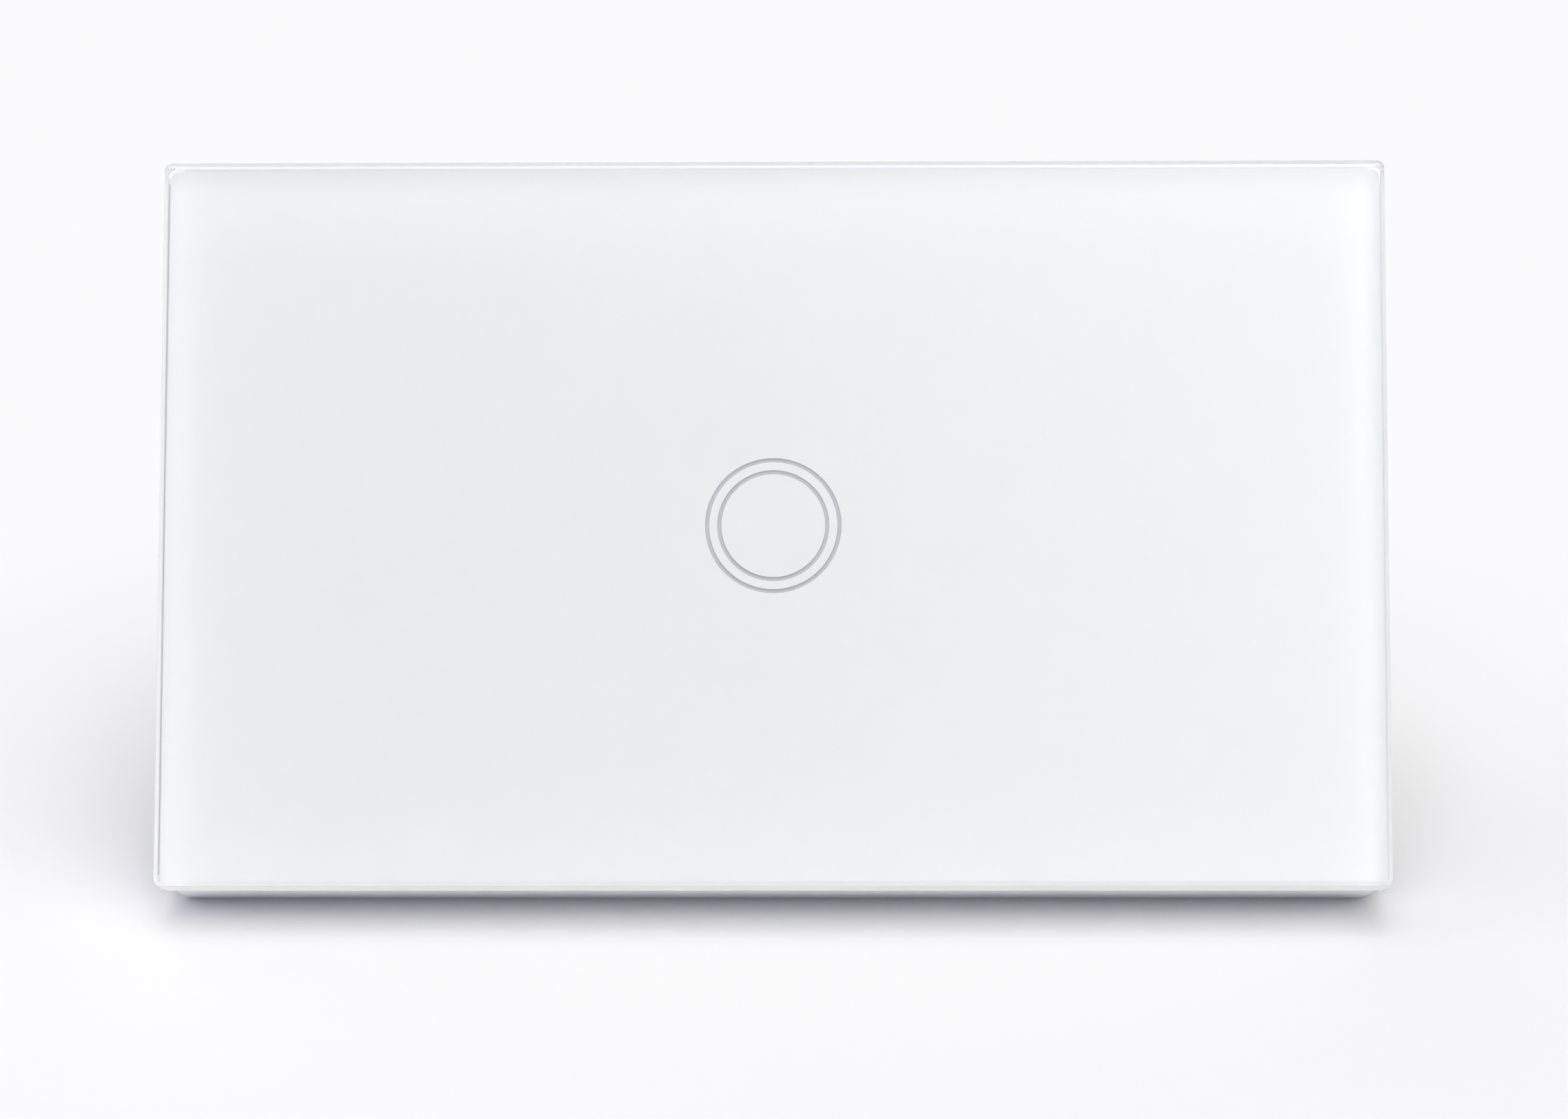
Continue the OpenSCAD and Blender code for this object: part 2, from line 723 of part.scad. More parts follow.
module touch_board() {
    color("darkgreen") slab(touch_front, touch_rear) difference() {
        rounded_plan(touch_w, touch_h, board_screw_d / 2);
        for (sx = SIDES, sz = SIDES)
            translate([sx * (touch_w / 2 - touch_screw_inset), sz * (touch_h / 2 - touch_screw_inset)])
                circle(d = board_screw_d + 2 * fit);
        for (x = link_xs()) translate([x, link_z]) square(link_pin, center = true);
    }
}

module board_screws() {
    color("silver") at_corners(touch_w / 2 - touch_screw_inset, touch_h / 2 - touch_screw_inset)
        pan_screw(board_screw_d, board_screw_head_d, board_screw_head_h, touch_front, board_screw_len);
}

module touch_chip() {
    color("dimgray") at(0, -chip_drop) {
        bar(chip_w, chip_d, touch_front - chip_h, touch_front - chip_lift);
        for (x = spread(chip_leads, chip_w)) at(x, 0)
            bar(chip_lead_w, chip_d + 2 * chip_lead_reach, touch_front - chip_lead_t, touch_front);
    }
}

// Places of the link pins along x
function link_xs() = [for (i = [0:link_pin_count - 1]) (i - (link_pin_count - 1) / 2) * link_spacing];

// Centre line of the touch spring: a straight foot, the turns, and a straight tip
SPRING_STEPS = 8;
SPRING_SIDES = 6;
function spring_point(i) = let (a = 360 * i / SPRING_STEPS)
    [spring_d / 2 * cos(a), touch_front - spring_wire - spring_rise * i / (SPRING_STEPS * spring_turns),
        spring_d / 2 * sin(a)];
spring_last = SPRING_STEPS * spring_turns;
spring_line = [[spring_d / 2, touch_front, 0], for (i = [0:spring_last]) spring_point(i),
    [spring_d / 2, probe_front, 0]];

// Least gap between the turns, measured on points more than half a turn apart
spring_gap = min([for (i = [0:spring_last], j = [i + SPRING_STEPS / 2:1:spring_last])
    norm(spring_point(i) - spring_point(j)) - spring_wire]);
echo(touch_spring_least_gap = spring_gap);

// Ring of points round one point of the centre line, in the plane of its radius and the y axis
function spring_ring(k) =
    let (last = len(spring_line) - 1, p = spring_line[k],
        foot = k == 0 || k == last,
        bend = k == 1 || k == last - 1,
        a = foot ? 0 : 360 * (k - 1) / SPRING_STEPS,
        out = [cos(a), 0, sin(a)],
        round = [-sin(a), 0, cos(a)],
        up = foot ? round : bend ? (round + [0, 1, 0]) / sqrt(2) : [0, 1, 0])
    [for (s = [0:SPRING_SIDES - 1]) let (t = 360 * s / SPRING_SIDES)
        p + spring_wire / 2 * (cos(t) * out + sin(t) * up)];

module touch_spring() {
    rings = len(spring_line);
    n = SPRING_SIDES;
    points = [for (k = [0:rings - 1]) each spring_ring(k)];
    walls = [for (k = [0:rings - 2], s = [0:n - 1])
        let (a = k * n + s, b = k * n + (s + 1) % n)
        each [[a, b, a + n], [b, b + n, a + n]]];
    foot = [for (s = [1:n - 2]) [0, s + 1, s]];
    tip = [for (s = [1:n - 2]) let (o = (rings - 1) * n) [o, o + s, o + s + 1]];
    color("gold") polyhedron(points, concat(walls, foot, tip));
}

// Places children on the circle of the light-emitting diodes
module at_leds() {
    for (i = [0:led_count - 1]) rotate([0, (i + 0.5) * 360 / led_count, 0]) at(led_r, 0) children();
}

module light_guide() {
    color("ghostwhite") difference() {
        rod(guide_out_d, probe_front, touch_front);
        rod(guide_in_d, probe_front - eps, touch_front + eps);
        at_leds() bar(led_w + 2 * fit, led_l + 2 * fit, touch_front - led_h - fit, touch_front + eps);
    }
}

module indicator_leds() {
    lens = touch_front - led_h + led_dome;
    color("lightyellow") at_leds() {
        bar(led_w, led_l, lens, touch_front);
        bar(led_w - 2 * led_dome, led_l - 2 * led_dome, touch_front - led_h, lens);
    }
}

module link_strip() {
    color("dimgray") at(0, link_z) slab(touch_rear, strip_rear) difference() {
        link_plan(0);
        for (x = link_xs()) translate([x, 0]) square(link_pin, center = true);
    }
}

// Pins from the touch board through the strip into the socket
module link_pins() {
    color("gold") at(0, link_z) for (x = link_xs()) at(x, 0)
        bar(link_pin, link_pin, touch_front - link_pin, power_front - link_strip_t);
}

module link_socket() {
    color("dimgray") at(0, link_z) slab(strip_rear + fit, power_front) difference() {
        link_plan(0);
        for (x = link_xs()) translate([x, 0]) square(link_pin + fit, center = true);
    }
}

module power_board() {
    color("darkgreen") slab(power_front, power_rear) difference() {
        square([power_w, power_h], center = true);
        for (sx = SIDES, sz = SIDES) translate([sx * power_w / 2, sz * power_h / 2])
            square(2 * board_notch, center = true);
    }
}

module relay_base() {
    color("black") at(relay_x, top_row_z) bar(relay_in_w, relay_in_d, power_rear, base_rear);
}

// Iron angle: a foot under the coil and a leg up to the armature
module relay_yoke() {
    foot_end = coil_x + bobbin_d / 2;
    color("silver") {
        at((yoke_x - iron_t / 2 + foot_end) / 2, top_row_z)
            bar(foot_end - yoke_x + iron_t / 2, iron_w, base_rear, base_rear + iron_t);
        at(yoke_x, top_row_z) bar(iron_t, iron_w, base_rear, armature_front - fit);
    }
}

// Core with a pole plate under the armature
module relay_core() {
    color("silver") at(coil_x, top_row_z) {
        rod(core_d, bobbin_front, bobbin_rear + eps);
        rod(pole_d, bobbin_rear, core_rear);
    }
}

module relay_bobbin() {
    tube_d = core_d + 2 * bobbin_t;
    wind_from = bobbin_front + bobbin_t;
    wind_to = bobbin_rear - bobbin_t;
    color("ivory") at(coil_x, top_row_z)
        turned([[core_d / 2, bobbin_front], [bobbin_d / 2, bobbin_front], [bobbin_d / 2, wind_from],
            [tube_d / 2, wind_from], [tube_d / 2, wind_to],
            [bobbin_d / 2, wind_to], [bobbin_d / 2, bobbin_rear], [core_d / 2, bobbin_rear]]);
}

module relay_winding() {
    color("peru") at(coil_x, top_row_z) difference() {
        rod(coil_d, bobbin_front + bobbin_t, bobbin_rear - bobbin_t);
        rod(core_d + 2 * bobbin_t, bobbin_front, bobbin_rear);
    }
}

// Blade from the base with a contact button under the moving one
module relay_fixed_contact() {
    blade_x = contact_x + contact_d / 2 + blade_t / 2;
    color("goldenrod") {
        at(blade_x, top_row_z) bar(blade_t, blade_w, base_rear, blade_rear);
        at((contact_x - contact_d / 2 + blade_x + blade_t / 2) / 2, top_row_z)
            bar(contact_d + blade_t, blade_w, blade_rear - blade_t, blade_rear);
        at(contact_x, top_row_z) rod(contact_d, blade_rear, fixed_rear);
    }
}

module relay_case() {
    rear = power_rear + relay_h;
    edge = relay_wall / 2;
    color("royalblue") at(relay_x, top_row_z) difference() {
        edged_block(relay_w, relay_d, relay_wall, [[0, power_rear], [0, rear - edge], [edge, rear]]);
        bar(relay_w - 2 * relay_wall, relay_d - 2 * relay_wall, power_rear - eps, rear - relay_wall);
    }
}

// Iron plate that rocks on its rounded end above the yoke
module relay_armature() {
    to_x = contact_x + contact_d / 2;
    color("lightgray") {
        at((yoke_x + to_x) / 2, top_row_z) bar(to_x - yoke_x, iron_w, armature_front, armature_rear);
        translate([yoke_x, hinge_y, top_row_z]) cylinder(d = iron_t, h = iron_w, center = true);
    }
}

module relay_moving_contact() {
    color("goldenrod") at(contact_x, top_row_z) rod(contact_d, armature_front - contact_t, armature_front);
}

module terminal_block() {
    bar_hole_d = bar_w + 2 * fit;
    color("darkseagreen") difference() {
        at(0, block_z) bar(block_w, block_d, power_rear, block_rear);
        for (i = POLES) at(i * pole_spacing, block_z) {
            bar(pocket_w, pocket_d, power_rear - eps, pocket_rear);
            rod(screw_d + 2 * run, pocket_rear - eps, block_rear + eps);
            at(0, block_d / 4) bar(bar_hole_d, block_d / 2 - block_wall, bar_front - fit, bar_rear + fit);
            at(0, block_d / 2 - block_wall - bar_t / 2)
                bar(bar_hole_d, bar_t + 2 * fit, power_rear - eps, bar_rear + fit);
            translate([0, wire_y, -block_d / 2 - eps]) cylinder(d = wire_hole_d, h = block_d / 2);
        }
    }
}

// Angled contact bars from the clamps down to the power board
module contact_bars() {
    from_z = cage_z - cage_strip / 2;
    to_z = block_z + block_d / 2 - block_wall;
    color("gold") for (i = POLES) at(i * pole_spacing, 0) {
        at(0, (from_z + to_z) / 2) bar(bar_w, to_z - from_z, bar_front, bar_rear);
        at(0, to_z - bar_t / 2) bar(bar_w, bar_t, power_rear, bar_rear);
    }
}

// Rising clamp: a square loop round the bar, threaded on the terminal screw
module clamp_cage(i) {
    color("silver") at(i * pole_spacing, cage_z) difference() {
        bar(cage_w, cage_strip, cage_front, cage_rear);
        bar(cage_in_w, cage_strip + 2 * eps, cage_front + cage_wall, nut_front);
        rod(screw_d + 2 * post_clear, nut_front - eps, cage_rear + eps);
    }
}

// Slotted terminal screw, head towards the rear wall
module terminal_screw(i) {
    seat = block_rear + fit / 2;
    top = seat + screw_head_h;
    color("silver") at(i * pole_spacing, cage_z) difference() {
        turned([[0, bar_rear + fit / 2], [screw_d / 2, bar_rear + fit / 2], [screw_d / 2, seat],
            [screw_head_d / 2, seat], [screw_head_d / 2, top - screw_head_edge],
            [screw_head_d / 2 - screw_head_edge, top], [0, top]]);
        cross_recess(screw_head_d, top - slot_depth, top + eps);
    }
}

module film_capacitor() {
    rear = power_rear + film_h;
    edge = film_edge / 2;
    color("goldenrod") at(film_x, top_row_z + (top_row_d - film_d) / 2)
        edged_block(film_w, film_d, film_edge, [[0, power_rear], [0, rear - edge], [edge, rear]]);
}

// Can capacitors with a crimped neck near the board
module can_capacitors() {
    rear = power_rear + can_h;
    out_r = can_d / 2;
    in_r = out_r - can_neck;
    color("midnightblue") for (i = [0, 1]) at(can_x + i * can_step, mid_row_z)
        turned([[0, power_rear], [in_r, power_rear], [out_r, power_rear + can_neck],
            [out_r, power_rear + 2 * can_neck], [in_r, power_rear + 3 * can_neck],
            [out_r, power_rear + 4 * can_neck], [out_r, rear - can_neck], [in_r, rear], [0, rear]]);
}

module bridge_rectifier() {
    color("dimgray") at(bridge_x, top_row_z) {
        bar(bridge_w, bridge_d, power_rear + bridge_pin, power_rear + bridge_h);
        at_corners(bridge_pin_spacing / 2, (bridge_d - bridge_pin) / 2)
            bar(2 * bridge_pin, bridge_pin, power_rear, power_rear + bridge_pin + eps);
    }
}

// Ferrite frame with a centre leg
module transformer_core() {
    gap_w = (trafo_w - 4 * ferrite_t) / 2;
    color("dimgray") at(trafo_x, mid_row_z) difference() {
        bar(trafo_w, ferrite_d, power_rear, power_rear + trafo_h);
        for (s = SIDES) at(s * (ferrite_t + gap_w / 2), 0)
            bar(gap_w, ferrite_d + 2 * eps, power_rear + ferrite_t, power_rear + trafo_h - ferrite_t);
    }
}

module transformer_winding() {
    front = power_rear + ferrite_t + fit;
    rear = power_rear + trafo_h - ferrite_t - fit;
    color("khaki") at(trafo_x, mid_row_z) difference() {
        slab(front, rear) rounded_plan(trafo_w - 2 * ferrite_t - 2 * fit, trafo_d, ferrite_t / 2);
        bar(2 * ferrite_t + 2 * fit, ferrite_d + 2 * fit, front - eps, rear + eps);
    }
}

module fuse() {
    rear = power_rear + fuse_h;
    color("saddlebrown") at(fuse_x, mid_row_z)
        turned([[0, power_rear], [fuse_d / 2, power_rear], [fuse_d / 2, rear - fuse_edge],
            [fuse_d / 2 - fuse_edge, rear], [0, rear]]);
}

// Disc that stands on two leads
module varistor() {
    centre_y = power_rear + lead_d + varistor_d / 2;
    color("steelblue") at(varistor_x, mid_row_z) {
        translate([0, centre_y, 0]) cylinder(d = varistor_d, h = varistor_t, center = true);
        for (s = SIDES) at(s * lead_spacing / 2, 0) rod(lead_d, power_rear, centre_y);
    }
}

module rear_housing() {
    ledge_x = housing_in_w / 2 - ledge_w / 2;
    hole_d = screw_head_d + 2 * run;
    bay_w = 2 * pole_spacing + hole_d + 2 * bay_margin;
    bay_h = hole_d + 2 * bay_margin;
    color("dimgray") difference() {
        union() {
            difference() {
                edged_block(housing_w, housing_h, housing_corner_r, [[0, strap_front],
                    [0, housing_rear - housing_chamfer], [housing_chamfer, housing_rear]]);
                bar(housing_in_w, housing_in_h, strap_front - eps, housing_in_y);
            }
            at_corners(cover_screw_x, cover_screw_z)
                bar(post_reach, post_reach, strap_front, housing_in_y + eps);
            for (s = SIDES) at(s * ledge_x, 0)
                bar(ledge_w + eps, leg_w, power_rear, power_rear + ledge_depth);
        }
        at_corners(cover_screw_x, cover_screw_z)
            rod(tap_d, strap_front - eps, plate_front + cover_screw_len + fit);
        for (i = POLES) at(i * pole_spacing, cage_z) {
            rod(hole_d, housing_in_y - eps, housing_rear + eps);
            translate([0, wire_y, -cage_z - housing_h / 2 - eps])
                cylinder(d = wire_hole_d, h = housing_wall + 2 * eps);
            translate([0, wire_y, -cage_z - housing_h / 2 - eps])
                cylinder(d1 = wire_hole_d + entry_flare, d2 = wire_hole_d, h = housing_wall / 2);
        }
        at(0, cage_z) slab(housing_rear - bay_depth, housing_rear + eps)
            rounded_plan(bay_w, bay_h, bay_margin);
        for (i = [0:vent_count - 1])
            translate([(i - (vent_count - 1) / 2) * vent_spacing, vent_y, housing_in_h / 2 - eps])
                linear_extrude(housing_wall + 2 * eps) square([vent_w, vent_len], center = true);
    }
}

glass_panel();
white_print();
ring_marks();
bond_tape();
panel_frame();
mounting_strap();
strap_screws();
front_cover();
cover_screws();
touch_board();
board_screws();
touch_chip();
touch_spring();
light_guide();
indicator_leds();
link_strip();
link_pins();
link_socket();
power_board();
relay_base();
relay_yoke();
relay_core();
relay_bobbin();
relay_winding();
relay_fixed_contact();
relay_case();
relay_armature();
relay_moving_contact();
terminal_block();
contact_bars();
clamp_cage(-1);  // clamp_cage_left
clamp_cage(0);  // clamp_cage_middle
clamp_cage(1);  // clamp_cage_right
terminal_screw(-1);  // terminal_screw_left
terminal_screw(0);  // terminal_screw_middle
terminal_screw(1);  // terminal_screw_right
film_capacitor();
can_capacitors();
bridge_rectifier();
transformer_core();
transformer_winding();
fuse();
varistor();
rear_housing();
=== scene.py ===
"""Looks of a touch light switch that leans back on a pale table.

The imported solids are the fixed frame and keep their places. This file gives each of them its finish,
models the glass, the touch spring and the small board parts as pieces of their own, and sets the table,
the light and the camera.
"""

from __future__ import annotations

import json
import logging
import math
from dataclasses import dataclass
from enum import Enum
from typing import Any, Iterable, Mapping, Sequence, Union

import bmesh
import bpy
from mathutils import Matrix, Vector

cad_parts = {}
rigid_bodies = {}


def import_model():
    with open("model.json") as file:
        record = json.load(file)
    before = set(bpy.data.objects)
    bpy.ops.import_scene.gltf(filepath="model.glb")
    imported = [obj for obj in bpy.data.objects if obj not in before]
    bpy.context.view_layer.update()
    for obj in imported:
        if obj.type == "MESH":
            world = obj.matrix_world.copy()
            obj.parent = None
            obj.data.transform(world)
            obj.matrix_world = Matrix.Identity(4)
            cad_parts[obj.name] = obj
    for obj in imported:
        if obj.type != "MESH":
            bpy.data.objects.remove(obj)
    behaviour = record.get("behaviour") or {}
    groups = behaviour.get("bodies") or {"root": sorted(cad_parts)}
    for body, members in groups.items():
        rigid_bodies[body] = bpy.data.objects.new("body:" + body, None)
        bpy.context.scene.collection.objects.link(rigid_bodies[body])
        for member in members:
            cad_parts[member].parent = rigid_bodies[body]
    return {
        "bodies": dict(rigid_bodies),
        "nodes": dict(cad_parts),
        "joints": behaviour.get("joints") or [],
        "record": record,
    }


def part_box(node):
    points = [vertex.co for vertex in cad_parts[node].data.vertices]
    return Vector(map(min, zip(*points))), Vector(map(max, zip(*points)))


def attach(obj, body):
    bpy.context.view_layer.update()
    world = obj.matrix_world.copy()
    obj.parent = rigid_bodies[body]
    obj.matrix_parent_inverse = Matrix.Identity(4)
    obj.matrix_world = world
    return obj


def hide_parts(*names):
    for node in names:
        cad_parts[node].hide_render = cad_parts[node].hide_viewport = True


MM = 0.001
SMOOTH = {"interpolation_type": "SMOOTHSTEP"}
UNTURNED = (0.0, 0.0, 0.0)
LOG = logging.getLogger("touch_switch")

Colour = tuple[float, float, float]
Span = tuple[float, float]
Term = Union["Value", float]


class Axis(Enum):
    """A direction of the part's own frame."""

    X = 0
    Y = 1
    Z = 2


class Slot(Enum):
    """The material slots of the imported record."""

    CLEAR_GLASS = "clear_glass"
    WHITE_INK = "white_ink"
    GREY_INK = "grey_ink"
    FOAM_TAPE = "foam_tape"
    WHITE_FRAME = "white_frame_plastic"
    WHITE_COVER = "white_cover_plastic"
    ZINC_STEEL = "zinc_steel"
    SCREW_STEEL = "screw_steel"
    BOARD_GREEN = "board_green"
    BLACK_MOULDING = "black_moulding"
    SPRING_GOLD = "spring_gold"
    FROSTED_GUIDE = "frosted_guide"
    LED_LENS = "led_lens"
    PIN_BRASS = "pin_brass"
    SOFT_IRON = "soft_iron"
    IVORY_BOBBIN = "ivory_bobbin"
    COPPER_WIRE = "copper_wire"
    BLUE_CASE = "blue_case"
    TERMINAL_GREEN = "terminal_green"
    YELLOW_BOX = "yellow_box"
    NAVY_SLEEVE = "navy_sleeve"
    FERRITE = "ferrite"
    YELLOW_TAPE = "yellow_tape"
    BROWN_MOULDING = "brown_moulding"
    BLUE_EPOXY = "blue_epoxy"
    HOUSING_GREY = "housing_grey"


class Value:
    """An output socket that Python arithmetic works on by adding Math nodes."""

    def __init__(self, graph: Graph, socket: bpy.types.NodeSocket) -> None:
        """Keep the socket and the graph that new nodes go into."""
        self.graph = graph
        self.socket = socket

    def output(self, name: str) -> Value:
        """Another output of the same node."""
        return Value(self.graph, self.socket.node.outputs[name])

    def math(self, operation: str, *terms: Term) -> Value:
        """One Math node on the given terms."""
        return self.graph.add("ShaderNodeMath", {"operation": operation}, dict(enumerate(terms)))

    def __add__(self, other: Term) -> Value:
        """Sum."""
        return self.math("ADD", self, other)

    def __radd__(self, other: Term) -> Value:
        """Sum with a number on the left."""
        return self.math("ADD", other, self)

    def __sub__(self, other: Term) -> Value:
        """Difference."""
        return self.math("SUBTRACT", self, other)

    def __rsub__(self, other: Term) -> Value:
        """Difference with a number on the left."""
        return self.math("SUBTRACT", other, self)

    def __mul__(self, other: Term) -> Value:
        """Product."""
        return self.math("MULTIPLY", self, other)

    def __rmul__(self, other: Term) -> Value:
        """Product with a number on the left."""
        return self.math("MULTIPLY", other, self)

    def __truediv__(self, other: Term) -> Value:
        """Quotient."""
        return self.math("DIVIDE", self, other)

    def __abs__(self) -> Value:
        """Size without sign."""
        return self.math("ABSOLUTE", self)

    def __gt__(self, other: Term) -> Value:
        """One where this is the larger, and zero elsewhere."""
        return self.math("GREATER_THAN", self, other)

    def __lt__(self, other: Term) -> Value:
        """One where this is the smaller, and zero elsewhere."""
        return self.math("LESS_THAN", self, other)

    def ramp(self, start: float, end: float) -> Value:
        """A smooth step from zero at start to one at end."""
        inputs = {"Value": self, "From Min": start, "From Max": end}
        return self.graph.add("ShaderNodeMapRange", SMOOTH, inputs)

    def between(self, low: float, high: float) -> Value:
        """A number between two others, for a value from zero to one."""
        return low + self * (high - low)


class Graph:
    """A node tree that one method fills."""

    def __init__(self, tree: bpy.types.NodeTree) -> None:
        """Start with an empty tree."""
        self.tree = tree
        self.tree.nodes.clear()

    def add(
        self,
        kind: str,
        settings: Mapping[str, Any] | None = None,
        inputs: Mapping[Union[int, str], Any] | None = None,
        output: Union[int, str] = 0,
    ) -> Value:
        """Add one node.

        Args:
            kind: Blender's own name for the node's type.
            settings: Attributes that are set before the sockets.
            inputs: Values or links of its sockets, by name or number.
            output: The output that is handed back.

        Returns:
            That output, or the first input of a node that has no outputs.
        """
        node = self.tree.nodes.new(kind)
        for name, setting in (settings or {}).items():
            setattr(node, name, setting)
        for key, given in (inputs or {}).items():
            if isinstance(given, Value):
                self.tree.links.new(given.socket, node.inputs[key])
            else:
                node.inputs[key].default_value = given
        return Value(self, node.outputs[output] if node.outputs else node.inputs[0])

    def blend(self, factor: Term, low: Union[Value, Colour], high: Union[Value, Colour]) -> Value:
        """Mix two colours, by the number of the Mix node's colour sockets.

        Args:
            factor: Zero for the first colour and one for the second.
            low: The first colour.
            high: The second colour.

        Returns:
            The mixed colour.
        """
        first, second = (c if isinstance(c, Value) else (*c, 1.0) for c in (low, high))
        inputs = {0: factor, 6: first, 7: second}
        return self.add("ShaderNodeMix", {"data_type": "RGBA"}, inputs, output=2)


def shaded(colour: Colour, share: float) -> Colour:
    """A colour darkened by a share of itself."""
    return tuple(c * (1.0 - share) for c in colour)


class Surface(Graph):
    """The node tree of one material."""

    def __init__(self, name: str) -> None:
        """Make the material that the tree belongs to.

        Args:
            name: Name of the material.
        """
        self.material = bpy.data.materials.new(name)
        self.material.use_nodes = True
        super().__init__(self.material.node_tree)

    def place(self) -> Value:
        """Object coordinates, in metres."""
        return self.add("ShaderNodeTexCoord", output="Object")

    def along(self, axis: Axis) -> Value:
        """The coordinate along one axis, in metres."""
        return self.add("ShaderNodeSeparateXYZ", inputs={0: self.place()}, output=axis.value)

    def facing(self, axis: Axis) -> Value:
        """How much the surface faces along an axis, without sign."""
        normal = self.add("ShaderNodeTexCoord", output="Normal")
        return abs(self.add("ShaderNodeSeparateXYZ", inputs={0: normal}, output=axis.value))

    def noise(
        self, grain: float, detail: float = 2.0, stretch: Sequence[float] = (1.0, 1.0, 1.0)
    ) -> Value:
        """Noise with features of a given size.

        Args:
            grain: Size of a feature, in metres.
            detail: Octaves of finer noise.
            stretch: Factor on the frequency along each axis.

        Returns:
            Values round one half.
        """
        vector = self.add("ShaderNodeMapping", inputs={"Vector": self.place(), "Scale": stretch})
        inputs = {"Vector": vector, "Scale": 1.0 / grain, "Detail": detail}
        return self.add("ShaderNodeTexNoise", inputs=inputs)

    def bump(self, height: Value, depth: float, edge: float = 0.0) -> Value:
        """A normal that follows a height.

        Args:
            height: Height from zero to one.
            depth: Real depth of that height, in metres.
            edge: Radius to which sharp edges look rounded, or zero.

        Returns:
            The bent normal.
        """
        inputs: dict[str, Any] = {"Distance": depth, "Height": height}
        if edge:
            inputs["Normal"] = self.add("ShaderNodeBevel", inputs={"Radius": edge})
        return self.add("ShaderNodeBump", inputs=inputs)

    def mottled(self, pattern: Value, colour: Colour, share: float) -> Value:
        """A colour, darkened by a share of itself where the pattern is low."""
        return self.blend(pattern, shaded(colour, share), colour)

    def principled(self, colour: Any, rough: Term, others: Mapping[str, Any]) -> Value:
        """The surface shader of a colour, a roughness, and other sockets by name."""
        inputs = {"Base Color": colour, "Roughness": rough, **others}
        return self.add("ShaderNodeBsdfPrincipled", inputs=inputs)


class Pattern(Graph):
    """A Geometry Nodes tree with named inputs, whose result becomes a plain mesh."""

    def __init__(self, name: str, sizes: Mapping[str, str]) -> None:
        """Make a tree with one input socket for each named size.

        Args:
            name: Name of the tree.
            sizes: Socket type of each input, by its name.
        """
        super().__init__(bpy.data.node_groups.new(name, "GeometryNodeTree"))
        face = self.tree.interface
        for way in ("INPUT", "OUTPUT"):
            face.new_socket("Geometry", in_out=way, socket_type="NodeSocketGeometry")
        self.keys: dict[str, str] = {}
        for size, kind in sizes.items():
            self.keys[size] = face.new_socket(size, in_out="INPUT", socket_type=kind).identifier
        self.given = self.add("NodeGroupInput")

    def end(self, geometry: Value) -> None:
        """Realise the instances, set the material of the Finish input, and end the tree.

        Args:
            geometry: What the tree has made.
        """
        real = self.add("GeometryNodeRealizeInstances", inputs={0: geometry})
        finish = self.given.output("Finish")
        dressed = self.add("GeometryNodeSetMaterial", inputs={0: real, "Material": finish})
        self.add("NodeGroupOutput", inputs={0: dressed})

    def grow(
        self, name: str, sizes: Mapping[str, Any], places: Iterable[Vector] = ()
    ) -> bpy.types.Object:
        """Run the tree and keep its result.

        Args:
            name: Name of the new piece.
            sizes: Value of each named input.
            places: Points that the tree starts from.

        Returns:
            An object with a plain mesh and no modifier.
        """
        seed = bpy.data.meshes.new(name)
        seed.from_pydata([tuple(p) for p in places], [], [])
        piece = bpy.data.objects.new(name, seed)
        bpy.context.scene.collection.objects.link(piece)
        modifier = piece.modifiers.new(name, "NODES")
        modifier.node_group = self.tree
        for size, given in sizes.items():
            modifier[self.keys[size]] = given
        shape = piece.evaluated_get(bpy.context.evaluated_depsgraph_get())
        mesh = bpy.data.meshes.new_from_object(shape)
        piece.modifiers.clear()
        piece.data = mesh
        return piece


class PlacedParts(Pattern):
    """One small part, repeated at each of a set of points."""

    def __init__(self) -> None:
        """Lay out the tree."""
        sizes = {"Part": "NodeSocketObject", "Turn": "NodeSocketVector", "Finish": "NodeSocketMaterial"}
        super().__init__("placed_parts", sizes)
        source = {"Object": self.given.output("Part")}
        part = self.add("GeometryNodeObjectInfo", inputs=source, output="Geometry")
        turn = self.add("FunctionNodeEulerToRotation", inputs={0: self.given.output("Turn")})
        spots = {"Points": self.given, "Instance": part, "Rotation": turn}
        self.end(self.add("GeometryNodeInstanceOnPoints", inputs=spots))


class SweptSpring(Pattern):
    """A round wire wound into a spring, with a straight foot and tip."""

    def __init__(self, steps: int, sides: int) -> None:
        """Lay out the tree.

        Args:
            steps: Straight steps along the wire.
            sides: Flats round the wire.
        """
        sizes = ("Radius", "Wire", "Turns", "Foot", "Height", "Lead")
        kinds = {size: "NodeSocketFloat" for size in sizes}
        super().__init__("swept_spring", {**kinds, "Finish": "NodeSocketMaterial"})
        radius, wire, turns, foot, height, lead = (self.given.output(size) for size in sizes)
        share = self.add("GeometryNodeInputIndex") / steps
        ends = {"From Min": lead, "From Max": 1.0 - lead, "To Max": turns * math.tau}
        angle = self.add("ShaderNodeMapRange", SMOOTH, {"Value": share, **ends})
        across = radius * angle.math("COSINE", angle)
        upward = radius * angle.math("SINE", angle)
        point = {"X": across, "Y": foot - height * share, "Z": upward}
        place = self.add("ShaderNodeCombineXYZ", inputs=point)
        line = self.add("GeometryNodeMeshLine", inputs={"Count": steps + 1})
        wound = self.add("GeometryNodeSetPosition", inputs={0: line, "Position": place})
        path = self.add("GeometryNodeMeshToCurve", inputs={0: wound})
        circle = {"Resolution": sides, "Radius": wire / 2.0}
        profile = self.add("GeometryNodeCurvePrimitiveCircle", inputs=circle)
        sweep = {"Curve": path, "Profile Curve": profile, "Fill Caps": True}
        tube = self.add("GeometryNodeCurveToMesh", inputs=sweep)
        self.end(self.add("GeometryNodeSetShadeSmooth", inputs={0: tube}))


